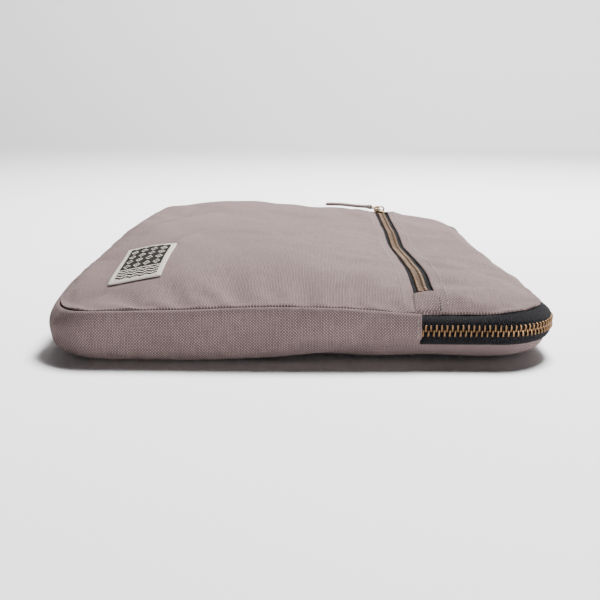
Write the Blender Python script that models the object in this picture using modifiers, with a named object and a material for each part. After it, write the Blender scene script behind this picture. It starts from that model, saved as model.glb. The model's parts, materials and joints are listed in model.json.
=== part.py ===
"""Laptop sleeve: padded canvas bag lying on its back, zipped mouth toward +X, width along Y.

Metres, +Z up. The floor is z = 0 under the middle of the back panel.
Every sewn piece, foam sheet, lining, zipper tape, tooth row, slider and pull is its own object.
"""

import math

import bmesh
import bpy
import numpy as np
from mathutils import Matrix, Vector

# ---------------------------------------------------------------- driving dimensions
BAG_HIGH = 0.250  # closed bottom to zipped mouth, along X
BAG_WIDE = 0.350  # along Y
CORNER_R = 0.031  # plan radius of the four corners
CANVAS = 0.0008
LINING = 0.0006
TAPE = 0.0006
GAP = 0.0003

HALF_X = BAG_HIGH / 2
HALF_Y = BAG_WIDE / 2
ARC_X = HALF_X - CORNER_R
ARC_Y = HALF_Y - CORNER_R

SEAM_IN = 0.004  # the front seam lies this far inside the fullest line of the gusset
TAPE_SEAM_IN = 0.006  # the same where the zipper takes the gusset's place
MOUTH_X = 0.115  # front panel edge at the mouth

GUSSET_END_X = 0.056
MOUTH_FOLD_X = 0.070  # fold line of the front where the opened mouth bends back
MOUTH_FOLD_Z = 0.0336

ZIP_X = 0.0592  # pocket zipper centre line
ZIP_Z = 0.0320
ZIP_OPENING = 0.0098
ZIP_END_Y = 0.1585
TAB_LONG = 0.011

CHAIN_Z = 0.017  # main zipper centre line
CHAIN_IN = 0.0014
CHAIN_HALF = 0.0014  # half thickness of a tooth row
TOOTH_REACH = 0.0029  # from the centre line to the back of a tooth

SLIDER_LONG = 0.012
SLIDER_WIDE = 0.0086
SLIDER_PLATE = 0.0012
PULL_WIRE = 0.0006
POCKET_RING = 0.0075
MAIN_RING = 0.0098
STRAP_LONG = 0.038
STRAP_WIDE = 0.0085
STRAP_THICK = 0.0022

LABEL_X = (-0.0975, -0.0708)
LABEL_Y = (-0.1450, -0.0960)

CAVITY_LOW = 0.0052
CAVITY_HIGH = 0.0184

CANVAS_RGB = (0.345, 0.283, 0.277)
LINING_RGB = (0.060, 0.058, 0.062)
FOAM_RGB = (0.200, 0.200, 0.205)
TAPE_RGB = (0.018, 0.017, 0.020)
BRASS_RGB = (0.330, 0.215, 0.110)
LABEL_RGB = (0.700, 0.690, 0.670)


# ---------------------------------------------------------------- scene and materials
def clear_scene():
    for thing in list(bpy.data.objects):
        bpy.data.objects.remove(thing, do_unlink=True)


clear_scene()
sleeve = bpy.data.collections.new("laptop_sleeve")
bpy.context.scene.collection.children.link(sleeve)
cutters = bpy.data.collections.new("cutters")
bpy.context.scene.collection.children.link(cutters)


def material(name, rgb, roughness, metallic=0.0):
    made = bpy.data.materials.new(name)
    made.use_nodes = True
    shader = made.node_tree.nodes["Principled BSDF"]
    shader.inputs["Base Color"].default_value = (*rgb, 1.0)
    shader.inputs["Roughness"].default_value = roughness
    shader.inputs["Metallic"].default_value = metallic
    made.diffuse_color = (*rgb, 1.0)
    return made


canvas = material("taupe_canvas", CANVAS_RGB, 0.92)
lining_cloth = material("lining_cloth", LINING_RGB, 0.75)
foam = material("foam_padding", FOAM_RGB, 0.95)
tape_cloth = material("zipper_tape", TAPE_RGB, 0.85)
brass = material("antique_brass", BRASS_RGB, 0.38, 1.0)
label_cloth = material("woven_label", LABEL_RGB, 0.80)


def finish(obj, mat, origin=(0, 0, 0), group=None):
    """Links the object, puts its origin on the given point and gives it its material."""
    (group or sleeve).objects.link(obj)
    obj.data.transform(Matrix.Translation(-Vector(origin)))
    obj.location = origin
    obj.data.materials.append(mat)
    return obj


def cutter(obj):
    cutters.objects.link(obj)
    obj.hide_render = True
    obj.display_type = "WIRE"
    return obj


def mesh_object(name, points, faces):
    mesh = bpy.data.meshes.new(name)
    mesh.from_pydata([tuple(map(float, p)) for p in points], [], faces)
    mesh.update()
    return bpy.data.objects.new(name, mesh)


def grid_object(name, rows, flip=False):
    """A sheet through rows of points, all rows of one length."""
    across = len(rows[0])
    points = [p for row in rows for p in row]
    faces = []
    for i in range(len(rows) - 1):
        for j in range(across - 1):
            a = i * across + j
            ring = (a, a + 1, a + across + 1, a + across)
            faces.append(ring[::-1] if flip else ring)
    return mesh_object(name, points, faces)


def solidify(obj, thickness, offset=-1.0):
    """Thickens a sheet away from its normals."""
    mod = obj.modifiers.new("thickness", "SOLIDIFY")
    mod.thickness = thickness
    mod.offset = offset
    mod.use_even_offset = True
    mod.use_quality_normals = True
    return obj


def prism(name, outline, low, high):
    """A filled flat curve through the outline points, extruded between two heights."""
    curve = bpy.data.curves.new(name, "CURVE")
    curve.dimensions = "2D"
    curve.fill_mode = "BOTH"
    curve.extrude = (high - low) / 2
    spline = curve.splines.new("POLY")
    spline.points.add(len(outline) - 1)
    for place, (x, y) in zip(spline.points, outline):
        place.co = (x, y, 0, 1)
    spline.use_cyclic_u = True
    guide = bpy.data.objects.new(name + "_outline", curve)
    mesh = bpy.data.meshes.new_from_object(guide)
    bpy.data.objects.remove(guide)
    mesh.name = name
    weld(mesh)
    mesh.transform(Matrix.Translation((0, 0, (low + high) / 2)))
    return bpy.data.objects.new(name, mesh)


def weld(mesh):
    """Joins a filled curve's caps to its sides and turns all faces outward."""
    work = bmesh.new()
    work.from_mesh(mesh)
    bmesh.ops.remove_doubles(work, verts=work.verts, dist=0.00001)
    bmesh.ops.recalc_face_normals(work, faces=work.faces)
    work.to_mesh(mesh)
    work.free()


def box(name, low, high):
    """A cube primitive stretched between two corners."""
    work = bmesh.new()
    bmesh.ops.create_cube(work, size=1.0)
    size = [b - a for a, b in zip(low, high)]
    middle = [(a + b) / 2 for a, b in zip(low, high)]
    bmesh.ops.scale(work, vec=size, verts=work.verts)
    bmesh.ops.translate(work, vec=middle, verts=work.verts)
    mesh = bpy.data.meshes.new(name)
    work.to_mesh(mesh)
    work.free()
    return bpy.data.objects.new(name, mesh)


# ---------------------------------------------------------------- shape of the bag
def smooth(value):
    t = min(1.0, max(0.0, value))
    return t * t * (3 - 2 * t)


def mix(a, b, t):
    return a + (b - a) * t


def table(x, stops):
    return float(np.interp(x, [s[0] for s in stops], [s[1] for s in stops]))


SEAM_HEIGHT = (
    (-0.125, 0.0246),
    (-0.105, 0.0258),
    (-0.060, 0.0268),
    (-0.015, 0.0282),
    (0.025, 0.0272),
    (0.056, 0.0254),
    (0.115, 0.0248),
)
CROWN_HEIGHT = (
    (-0.121, 0.0430),
    (-0.095, 0.0440),
    (-0.070, 0.0440),
    (-0.035, 0.0424),
    (0.015, 0.0408),
    (0.035, 0.0382),
    (0.048, 0.0352),
    (0.0545, 0.0340),
    (0.060, 0.0336),
    (0.070, 0.0336),
    (0.090, 0.0312),
    (0.115, 0.0285),
)


def seam_height(x, y):
    """Height of the seam between the front and the gusset or zipper."""
    sag = 0.0020 * max(0.0, 1 - (y / 0.150) ** 2) * smooth((x - 0.085) / 0.030)
    return table(x, SEAM_HEIGHT) - sag


def pillow(distance, reach):
    """0 on the seam, 1 at the given reach inside it."""
    t = min(1.0, max(0.0, distance / reach))
    return 1 - (1 - t) ** 2


def half_width(x):
    """Half the width of the front inside its seams."""
    if x < -ARC_X:
        r = CORNER_R - SEAM_IN
        return ARC_Y + math.sqrt(max(0.0, r * r - (x + ARC_X) ** 2))
    side_in = mix(SEAM_IN, TAPE_SEAM_IN, smooth((x - 0.050) / 0.014))
    r = HALF_Y - side_in - ARC_Y
    turn = MOUTH_X - r
    if x > turn:
        return ARC_Y + math.sqrt(max(0.0, r * r - (x - turn) ** 2))
    return HALF_Y - side_in


def end_line(y, sign):
    """X of the front's edge at the bottom (-1) or at the mouth (+1)."""
    over = max(0.0, abs(y) - ARC_Y)
    if sign < 0:
        r = CORNER_R - SEAM_IN
        return -ARC_X - math.sqrt(max(0.0, r * r - over * over))
    r = HALF_Y - TAPE_SEAM_IN - ARC_Y
    return MOUTH_X - r + math.sqrt(max(0.0, r * r - over * over))


def front_height(x, y):
    """Outer surface of the stuffed front."""
    wide = half_width(x)
    near_reach = mix(0.085, 0.013, smooth((x + 0.060) / 0.105))
    far_reach = mix(0.046, 0.013, smooth((x - 0.000) / 0.045))
    near_reach = mix(near_reach, 0.020, smooth((x - 0.072) / 0.020))
    far_reach = mix(far_reach, 0.020, smooth((x - 0.072) / 0.020))
    bottom_reach = mix(0.046, 0.028, smooth((y + 0.080) / 0.160))
    full = pillow(y + wide, near_reach) * pillow(wide - y, far_reach)
    full *= pillow(x - end_line(y, -1), bottom_reach)
    full *= pillow(end_line(y, 1) - x, 0.016)
    low = seam_height(x, y)
    return low + (table(x, CROWN_HEIGHT) - low) * full


def walk(parts):
    """Stations (x, y, outward normal) along straights and arcs, without repeats."""
    found = []
    for kind, *rest in parts:
        if kind == "line":
            (x0, y0), (x1, y1), steps, normal = rest
            new = [(mix(x0, x1, i / steps), mix(y0, y1, i / steps), *normal) for i in range(steps + 1)]
        else:
            (cx, cy), start, stop, steps = rest
            turns = [math.radians(mix(start, stop, i / steps)) for i in range(steps + 1)]
            new = [
                (cx + CORNER_R * math.cos(a), cy + CORNER_R * math.sin(a), math.cos(a), math.sin(a))
                for a in turns
            ]
        found += new[1:] if found else new
    return found


def half_gusset_route(end_x, side, fine=8):
    """Half of the gusset's line: from the middle of the closed bottom round one corner to end_x."""
    return walk(
        [
            ("line", (-HALF_X, side * GAP / 2), (-HALF_X, side * ARC_Y), 2, (-1, 0)),
            ("arc", (-ARC_X, side * ARC_Y), 180, 180 - side * 90, fine),
            ("line", (-ARC_X, side * HALF_Y), (end_x, side * HALF_Y), 6, (0, side)),
        ]
    )


def mouth_route(start_x, end_x, fine=7):
    return walk(
        [
            ("line", (start_x, -HALF_Y), (ARC_X, -HALF_Y), 2, (0, -1)),
            ("arc", (ARC_X, -ARC_Y), -90, 0, fine),
            ("line", (HALF_X, -ARC_Y), (HALF_X, ARC_Y), 6, (1, 0)),
            ("arc", (ARC_X, ARC_Y), 0, 90, fine),
            ("line", (ARC_X, HALF_Y), (end_x, HALF_Y), 2, (0, 1)),
        ]
    )


def band(name, route, profile, thickness, offset=-1.0, flip=False):
    """A strip along a route: profile(x, y, outward x) gives (inset, height) pairs from the top down."""
    rows = []
    for x, y, nx, ny in route:
        rows.append([(x - nx * d, y - ny * d, z) for d, z in profile(x, y, nx)])
    return solidify(grid_object(name, rows, flip), thickness, offset)


# ---------------------------------------------------------------- back
def tuck(x):
    """0 where the gusset is tucked under at the bottom, 1 where the zipper runs."""
    return smooth((x + 0.060) / 0.116)


def back_rim(x):
    return mix(0.013, 0.004, tuck(x)), mix(0.0020, 0.0094, tuck(x))


def back_half_width(x):
    inset, _ = back_rim(x)
    r = CORNER_R - inset
    if abs(x) > ARC_X:
        return ARC_Y + math.sqrt(max(0.0, r * r - (abs(x) - ARC_X) ** 2))
    return HALF_Y - inset


def back_height(x, y):
    """Outer surface of the back: flat on the floor, turned up to the seam."""
    inset, rim = back_rim(x)
    r = CORNER_R - inset
    over_x, over_y = abs(x) - ARC_X, abs(y) - ARC_Y
    if over_x > 0 and over_y > 0:
        inside = r - math.hypot(over_x, over_y)
    else:
        inside = min(back_half_width(x) - abs(y), HALF_X - inset - abs(x))
    rise = 1 - min(1.0, max(0.0, inside / 0.016))
    return rim * rise * rise


def back_rows():
    steps = (0.0, 0.003, 0.007, 0.0115, 0.0165)
    low, high = -HALF_X + back_rim(-HALF_X)[0], HALF_X - back_rim(HALF_X)[0]
    columns = [low + s for s in steps] + [-0.085, -0.060, -0.042, -0.018, 0.022, 0.045, 0.070, 0.085]
    columns += [high - s for s in reversed(steps)]
    rows = []
    for x in columns:
        wide = back_half_width(x)
        across = [-wide + s for s in steps] + [-0.120, 0.050] + [wide - s for s in reversed(steps)]
        rows.append([(x, y, back_height(x, y)) for y in across])
    return rows


back = solidify(grid_object("back_panel", back_rows()), CANVAS)
finish(back, canvas)


def rounded_plan(inset, low_x, high_x, round_low, round_high, steps=5):
    """Plan of an inner sheet: rounded at the bottom or at the mouth, square where it is cut."""
    y_side = HALF_Y - inset
    plan = []
    corners = (
        (high_x, -y_side, -90, round_high, -1, 1),
        (high_x, y_side, 0, round_high, -1, -1),
        (low_x, y_side, 90, round_low, 1, -1),
        (low_x, -y_side, 180, round_low, 1, 1),
    )
    for x, y, start, r, sx, sy in corners:
        if r <= 0:
            plan.append((x, y))
            continue
        for i in range(steps + 1):
            a = math.radians(start + 90 * i / steps)
            plan.append((x + sx * r + r * math.cos(a), y + sy * r + r * math.sin(a)))
    return plan


def sheet_stack(name, inset, span, rounds, heights, mat, origin=(0, 0, 0)):
    plan = rounded_plan(inset, span[0], span[1], rounds[0], rounds[1])
    return finish(prism(name, plan, heights[0], heights[1]), mat, origin)


FOLD = (MOUTH_FOLD_X, 0, MOUTH_FOLD_Z)
ROOT_CUT = MOUTH_FOLD_X - 0.0005
FLAP_CUT = MOUTH_FOLD_X + 0.0005

sheet_stack("back_foam", 0.022, (-0.101, 0.105), (0.014, 0.014), (0.0016, 0.0043), foam)
sheet_stack("back_lining", 0.013, (-0.113, 0.111), (0.022, 0.022), (0.0046, CAVITY_LOW), lining_cloth)
lining_low, lining_high = CAVITY_HIGH, CAVITY_HIGH + LINING
foam_low, foam_high = lining_high + GAP, lining_high + GAP + 0.003
pocket_low, pocket_high = foam_high + GAP, foam_high + GAP + LINING
root_span = (-0.118, ROOT_CUT)
sheet_stack("front_lining", 0.0055, (-0.1195, ROOT_CUT), (0.026, 0), (lining_low, lining_high), lining_cloth)
sheet_stack("front_foam", 0.007, root_span, (0.024, 0), (foam_low, foam_high), foam)
sheet_stack("pocket_back_lining", 0.007, root_span, (0.024, 0), (pocket_low, pocket_high), lining_cloth)
flap_span = (FLAP_CUT, 0.108)
sheet_stack("flap_lining", 0.0085, flap_span, (0, 0.020), (lining_low, lining_high), lining_cloth, FOLD)
sheet_stack("flap_foam", 0.0085, flap_span, (0, 0.020), (foam_low, foam_high), foam, FOLD)


# ---------------------------------------------------------------- gusset
def gusset_profile(x, y, nx):
    t = tuck(x)
    top = seam_height(x, y)
    inset, rim = back_rim(x)
    return [
        (0.0036, top - 0.00115),
        (0.0013, top - 0.0042),
        (0.0001, 0.0165),
        (0.0002, mix(0.0105, 0.0138, t)),
        (mix(0.0034, 0.0016, t), mix(0.0050, 0.0122, t)),
        (mix(0.0075, 0.0026, t), mix(0.0030, 0.0113, t)),
        (inset - 0.0004, rim + 0.00115 * t),
    ]


def gusset_lining_profile(x, y, nx):
    t = tuck(x)
    return [
        (0.0032, 0.0206),
        (0.0022, 0.0178),
        (0.0017, 0.0150),
        (mix(0.0024, 0.0026, t), mix(0.0100, 0.0132, t)),
        (mix(0.0050, 0.0047, t), mix(0.0064, 0.0112, t)),
    ]


for side, name in ((-1, "near"), (1, "far")):
    outer = half_gusset_route(GUSSET_END_X, side)
    inner = half_gusset_route(0.054, side, 6)
    half = band(f"gusset_{name}_half", outer, gusset_profile, CANVAS, flip=side > 0)
    finish(half, canvas)
    half = band(f"gusset_lining_{name}", inner, gusset_lining_profile, 0.0005, flip=side > 0)
    finish(half, lining_cloth)


# ---------------------------------------------------------------- front panels
def front_rows(columns, steps, middle, lift=0.0):
    rows = []
    for x in columns:
        wide = half_width(x)
        across = [-wide + s for s in steps] + list(middle) + [wide - s for s in reversed(steps)]
        rows.append([(x, y, front_height(x, y) + lift) for y in across])
    return rows


edge_steps = (0.0, 0.003, 0.007, 0.012, 0.019, 0.030, 0.046)
low_x = -HALF_X + SEAM_IN
columns_low = [low_x + s for s in (0.0, 0.0015, 0.005, 0.010, 0.017, 0.026)]
columns_low += [-0.083, -0.065, -0.040, -0.012, 0.014, 0.032, 0.044, ZIP_X - ZIP_OPENING / 2]
front_low = grid_object("front_lower_panel", front_rows(columns_low, edge_steps, (-0.085, -0.02, 0.05)))
finish(solidify(front_low, CANVAS), canvas)

hem_columns = [ZIP_X + ZIP_OPENING / 2, MOUTH_FOLD_X - 0.0004]
hem = grid_object("pocket_zip_hem", front_rows(hem_columns, edge_steps[:6], (-0.05, 0.05)))
finish(solidify(hem, CANVAS), canvas)

columns_high = [MOUTH_FOLD_X + 0.0004, 0.080, 0.090, 0.099, 0.106, 0.111, 0.1138, MOUTH_X]
flap_steps = (0.0, 0.003, 0.007, 0.012, 0.019)
front_high = grid_object("front_upper_panel", front_rows(columns_high, flap_steps, (-0.10, -0.03, 0.03, 0.10)))
finish(solidify(front_high, CANVAS), canvas, FOLD)


def label_rows():
    rows = []
    for i in range(4):
        x = mix(LABEL_X[0], LABEL_X[1], i / 3)
        row = []
        for j in range(6):
            y = mix(LABEL_Y[0], LABEL_Y[1], j / 5)
            row.append((x, y, front_height(x, y) + 0.0014))
        rows.append(row)
    return rows


finish(solidify(grid_object("label", label_rows()), 0.0008), label_cloth)


# ---------------------------------------------------------------- pocket zipper
def end_tab(name, side):
    rows = []
    for x in (ZIP_X - 0.0046, ZIP_X, ZIP_X + 0.0046):
        wide = half_width(x)
        across = [side * (wide - s) for s in (0.0, 0.003, 0.007, TAB_LONG - 0.0008)]
        rows.append([(x, y, front_height(x, y)) for y in sorted(across)])
    return finish(solidify(grid_object(name, rows), CANVAS), canvas)


end_tab("pocket_zip_end_tab_near", -1)
end_tab("pocket_zip_end_tab_far", 1)


for side, name in ((-1, "lower"), (1, "upper")):
    tape_in, tape_out = 0.0032, 0.0092
    tooth_in = 0.0001
    x_tape = sorted((ZIP_X + side * tape_in, ZIP_X + side * tape_out))
    x_teeth = sorted((ZIP_X + side * tooth_in, ZIP_X + side * TOOTH_REACH))
    strip = box(
        f"pocket_zip_tape_{name}",
        (x_tape[0], -ZIP_END_Y, ZIP_Z - TAPE / 2),
        (x_tape[1], ZIP_END_Y, ZIP_Z + TAPE / 2),
    )
    finish(strip, tape_cloth)
    row = box(
        f"pocket_zip_teeth_{name}",
        (x_teeth[0], -ZIP_END_Y, ZIP_Z - 0.0013),
        (x_teeth[1], ZIP_END_Y, ZIP_Z + 0.0013),
    )
    finish(row, brass)


# ---------------------------------------------------------------- main zipper
def back_tape_profile(x, y, nx):
    return [
        (CHAIN_IN, CHAIN_Z - 0.0032),
        (0.0021, 0.0123),
        (0.0037, 0.0107),
    ]


def mouth_seam_in(nx):
    return mix(TAPE_SEAM_IN, HALF_X - MOUTH_X, smooth(nx))


def front_tape_profile(x, y, nx):
    top = seam_height(x - (0.008 if nx > 0.5 else 0.0), y) - 0.0015
    inset = mouth_seam_in(nx)
    return [
        (inset, top),
        (mix(CHAIN_IN, inset, 0.42), mix(CHAIN_Z + 0.0032, top, 0.48)),
        (CHAIN_IN, CHAIN_Z + 0.0032),
    ]


def stub_route(side, start_x, end_x):
    if side < 0:
        return walk([("line", (start_x, -HALF_Y), (end_x, -HALF_Y), 1, (0, -1))])
    return walk([("line", (end_x, HALF_Y), (start_x, HALF_Y), 1, (0, 1))])


def tooth_strip(name, route, low, high):
    """A closed row of teeth as one bar of square section along the route."""
    return band(name, route, lambda x, y, nx: [(0.0, high), (0.0, low)], 2 * CHAIN_HALF)


TAPE_START = GUSSET_END_X + 0.0004
ROW_LOW = (CHAIN_Z - TOOTH_REACH, CHAIN_Z - 0.0001)
ROW_HIGH = (CHAIN_Z + 0.0001, CHAIN_Z + TOOTH_REACH)
whole = mouth_route(TAPE_START, TAPE_START)
opened = mouth_route(FLAP_CUT, FLAP_CUT)
finish(band("main_zip_tape_back", whole, back_tape_profile, TAPE, 0.0), tape_cloth)
finish(band("main_zip_tape_front", opened, front_tape_profile, TAPE, 0.0), tape_cloth, FOLD)
finish(tooth_strip("main_zip_teeth_back", whole, *ROW_LOW), brass)
finish(tooth_strip("main_zip_teeth_front", opened, *ROW_HIGH), brass, FOLD)
for side, name in ((-1, "near"), (1, "far")):
    stub = stub_route(side, TAPE_START, ROOT_CUT)
    finish(band(f"main_zip_end_tape_{name}", stub, front_tape_profile, TAPE, 0.0), tape_cloth)
    finish(tooth_strip(f"main_zip_end_teeth_{name}", stub, *ROW_HIGH), brass)


# ---------------------------------------------------------------- sliders and pulls
def cylinder(radius, length, sides=16):
    """Along Y, centred on the origin."""
    mesh = bmesh.new()
    bmesh.ops.create_cone(
        mesh, cap_ends=True, segments=sides, radius1=radius, radius2=radius, depth=length
    )
    bmesh.ops.rotate(mesh, matrix=Matrix.Rotation(math.radians(90), 3, "X"), verts=mesh.verts)
    data = bpy.data.meshes.new("cylinder")
    mesh.to_mesh(data)
    mesh.free()
    return bpy.data.objects.new("cylinder", data)


def boolean(obj, other, operation):
    mod = obj.modifiers.new(operation.lower(), "BOOLEAN")
    mod.operation = operation
    mod.solver = "EXACT"
    mod.object = other
    return obj


SECTION_TURN = Matrix(((0, 0, 1, 0), (1, 0, 0, 0), (0, 1, 0, 0), (0, 0, 0, 1)))
PROFILE_TURN = Matrix(((1, 0, 0, 0), (0, 0, -1, 0), (0, 1, 0, 0), (0, 0, 0, 1)))


def slider_body(name, turn_bridge):
    """Outer half of a slider. Local x along the chain, y across it, z outward; z = 0 on the tape."""
    half, wide = SLIDER_LONG / 2, SLIDER_WIDE / 2
    low, high = 0.0016, 0.0016 + SLIDER_PLATE
    lip = 0.0011
    section = [
        (-wide, 0.0006),
        (-wide + lip, 0.0006),
        (-wide + lip, low),
        (wide - lip, low),
        (wide - lip, 0.0006),
        (wide, 0.0006),
        (wide, high),
        (-wide, high),
    ]
    body = prism(name, section, -half, half)
    body.data.transform(SECTION_TURN)
    bridge = bridge_arch(high, turn_bridge)
    return body, bridge


def bridge_arch(base, turn):
    """The crown that holds the pull: two posts and a beam, 3 mm wide."""
    post, reach, width, hole, beam = 0.0014, 0.0039, 0.0015, 0.0022, 0.0012
    profile = [
        (-reach, base - 0.0006),
        (-reach + post, base - 0.0006),
        (-reach + post, base + hole),
        (reach - post, base + hole),
        (reach - post, base - 0.0006),
        (reach, base - 0.0006),
        (reach, base + hole + beam * 0.4),
        (reach - 0.0010, base + hole + beam),
        (-reach + 0.0010, base + hole + beam),
        (-reach, base + hole + beam * 0.4),
    ]
    arch = prism("bridge", profile, -width, width)
    arch.data.transform(PROFILE_TURN)
    if turn:
        arch.data.transform(Matrix.Rotation(math.radians(90), 4, "Z"))
    return arch


def inner_plate(name):
    half, wide = SLIDER_LONG / 2 - 0.0008, SLIDER_WIDE / 2 - 0.0011
    return box(name, (-half, -wide, -0.0028), (half, wide, -0.0017))


PULL_LIFT = 0.0016 + SLIDER_PLATE + 0.0011


def ring_wire(name, reach):
    """Wire loop: one bar on the local y axis through the bridge, the other at reach along x."""
    half = STRAP_WIDE / 2 + 0.0009
    turn = 0.0012
    corners = ((0, -half, 180), (reach, -half, 270), (reach, half, 0), (0, half, 90))
    curve = bpy.data.curves.new(name, "CURVE")
    curve.dimensions = "3D"
    curve.bevel_depth = PULL_WIRE
    curve.bevel_resolution = 1
    spline = curve.splines.new("POLY")
    points = []
    for x, y, start in corners:
        cx = x + (turn if x == 0 else -turn)
        cy = y + (turn if y < 0 else -turn)
        for i in range(4):
            a = math.radians(start + 30 * i)
            points.append((cx + turn * math.cos(a), cy + turn * math.sin(a), 0, 1))
    spline.points.add(len(points) - 1)
    for place, point in zip(spline.points, points):
        place.co = point
    spline.use_cyclic_u = True
    return bpy.data.objects.new(name, curve)


def strap(name, start):
    """Folded canvas strap with a sewn eye round the ring's outer bar."""
    blade = box(
        name,
        (start + 0.0010, -STRAP_WIDE / 2, -STRAP_THICK / 2),
        (start + STRAP_LONG, STRAP_WIDE / 2, STRAP_THICK / 2),
    )
    eye = cylinder(0.0018, STRAP_WIDE)
    eye.data.transform(Matrix.Translation((start, 0, 0)))
    bore = cylinder(0.0010, STRAP_WIDE + 0.004)
    bore.data.transform(Matrix.Translation((start, 0, 0)))
    return blade, eye, bore


def place(obj, frame, pivot, mat):
    """Moves local geometry by frame and sets the object's origin on the pivot."""
    obj.data.transform(frame)
    return finish(obj, mat, pivot)


def axes_frame(origin, along, across, out):
    columns = Matrix((along, across, out)).transposed().to_4x4()
    return Matrix.Translation(origin) @ columns


def slider_set(prefix, centre, along, out, pull_along, turn_bridge, reach):
    """Slider, inner plate, ring and strap. The pull's bar is perpendicular to pull_along and out."""
    along, out = Vector(along), Vector(out)
    across = out.cross(along)
    frame = axes_frame(centre, along, across, out)
    body, bridge = slider_body(f"{prefix}_slider", turn_bridge)
    bridge.data.transform(frame)
    place(body, frame, centre, brass)
    boolean(body, cutter(bridge), "UNION")
    place(inner_plate(f"{prefix}_slider_inner_plate"), frame, centre, brass)
    pivot = Vector(centre) + out * PULL_LIFT
    pull_along = Vector(pull_along).normalized()
    bar = out.cross(pull_along).normalized()
    pull_frame = axes_frame(pivot, pull_along, bar, pull_along.cross(bar))
    ring = ring_wire(f"{prefix}_pull_ring", reach)
    place(ring, pull_frame, pivot, brass)
    blade, eye, bore = strap(f"{prefix}_pull_strap", reach)
    for helper in (eye, bore):
        helper.data.transform(pull_frame)
        cutter(helper)
    place(blade, pull_frame, pivot, canvas)
    boolean(blade, eye, "UNION")
    boolean(blade, bore, "DIFFERENCE")


tilt = math.radians(10)
slider_set(
    "pocket",
    (ZIP_X, 0.152, ZIP_Z),
    (0, 1, 0),
    (0, 0, 1),
    (-math.cos(tilt), 0, math.sin(tilt)),
    True,
    POCKET_RING,
)
droop = math.radians(14)
slider_set(
    "main",
    (0.063, HALF_Y - CHAIN_IN, CHAIN_Z),
    (1, 0, 0),
    (0, 1, 0),
    (-math.cos(droop), 0, -math.sin(droop)),
    False,
    MAIN_RING,
)
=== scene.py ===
import json
import math

import bmesh
import bpy
import numpy as np
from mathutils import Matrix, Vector
from mathutils.bvhtree import BVHTree

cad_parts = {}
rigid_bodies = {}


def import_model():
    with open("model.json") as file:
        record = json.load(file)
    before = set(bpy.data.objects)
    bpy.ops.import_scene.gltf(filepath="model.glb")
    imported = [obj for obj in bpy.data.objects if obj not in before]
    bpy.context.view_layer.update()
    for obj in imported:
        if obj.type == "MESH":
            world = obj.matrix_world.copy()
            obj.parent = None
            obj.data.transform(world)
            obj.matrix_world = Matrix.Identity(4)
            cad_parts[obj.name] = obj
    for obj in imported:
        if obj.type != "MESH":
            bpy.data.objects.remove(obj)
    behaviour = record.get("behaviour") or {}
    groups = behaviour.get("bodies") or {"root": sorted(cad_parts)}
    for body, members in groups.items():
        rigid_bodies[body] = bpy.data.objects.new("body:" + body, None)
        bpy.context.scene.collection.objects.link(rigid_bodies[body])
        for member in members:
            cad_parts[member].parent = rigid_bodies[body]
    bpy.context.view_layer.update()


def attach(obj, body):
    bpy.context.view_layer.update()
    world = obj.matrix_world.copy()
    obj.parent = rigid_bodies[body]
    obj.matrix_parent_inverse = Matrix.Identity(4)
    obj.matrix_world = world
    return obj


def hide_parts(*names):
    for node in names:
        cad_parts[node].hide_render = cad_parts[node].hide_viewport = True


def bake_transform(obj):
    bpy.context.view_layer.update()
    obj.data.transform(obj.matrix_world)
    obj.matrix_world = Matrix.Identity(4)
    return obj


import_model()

# ------------------------------------------------------------------ sizes, metres
HALF_X, HALF_Y, CORNER_R = 0.125, 0.175, 0.031
ARC_X, ARC_Y = HALF_X - CORNER_R, HALF_Y - CORNER_R
SEAM_IN, TAPE_SEAM_IN, MOUTH_X = 0.004, 0.006, 0.118
SEAM_R, MOUTH_R = CORNER_R - SEAM_IN, HALF_Y - TAPE_SEAM_IN - ARC_Y
MOUTH_TURN = MOUTH_X - MOUTH_R
MOUTH_DROP = 0.0044
END_X = 0.056
ZIP_X, ZIP_Z, ZIP_HALF = 0.0592, 0.0320, 0.0049
CHAIN_Z, CHAIN_IN = 0.017, 0.0014
PITCH = 0.0025
TAPE_THICK = 0.0005
FOLD_R = 0.0007
ROW_GAP = 0.0047
SLIDER_CROWN = 0.0039
STRAP_LONG, STRAP_HALF = 0.0375, 0.00425
LABEL_X, LABEL_Y = (-0.0975, -0.0707), (-0.1450, -0.0950)
FLOOR_R, COVE_R, WALL_Z = 2.3, 0.8, 1.1

ROOT, FLAP = "sleeve", "mouth_flap"
ENDS = ((-1, "near"), (1, "far"))
RIGHT, FAR, UP = np.eye(3)


# ------------------------------------------------------------------ small maths
def smooth(t):
    t = np.clip(t, 0.0, 1.0)
    return t * t * (3 - 2 * t)


def mix(a, b, t):
    return a + (b - a) * t


def pillow(distance, reach):
    t = np.clip(distance / reach, 0.0, 1.0)
    return 1 - (1 - t) ** 2


def curve(x, stops):
    """Smooth curve through (x, value) stops."""
    xs = np.array([s[0] for s in stops], float)
    vs = np.array([s[1] for s in stops], float)
    slope = np.gradient(vs, xs)
    x = np.clip(np.asarray(x, float), xs[0], xs[-1])
    i = np.clip(np.searchsorted(xs, x) - 1, 0, len(xs) - 2)
    h = xs[i + 1] - xs[i]
    t = (x - xs[i]) / h
    a = (1 + 2 * t) * (1 - t) ** 2 * vs[i] + t * (1 - t) ** 2 * h * slope[i]
    return a + t * t * (3 - 2 * t) * vs[i + 1] + t * t * (t - 1) * h * slope[i + 1]


def ripple(x, y, seed, size):
    """Soft, repeatable waviness between -1 and 1 from a few plane waves."""
    rng = np.random.default_rng(seed)
    total = 0.0
    weight = 0.0
    for k in range(9):
        angle = rng.uniform(0, math.pi)
        wave = size * rng.uniform(0.7, 1.8)
        phase = rng.uniform(0, 2 * math.pi)
        along = x * math.cos(angle) + y * math.sin(angle)
        amount = rng.uniform(0.5, 1.0)
        total = total + amount * np.sin(2 * math.pi * along / wave + phase)
        weight += amount
    return total / weight * 2.0


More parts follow.
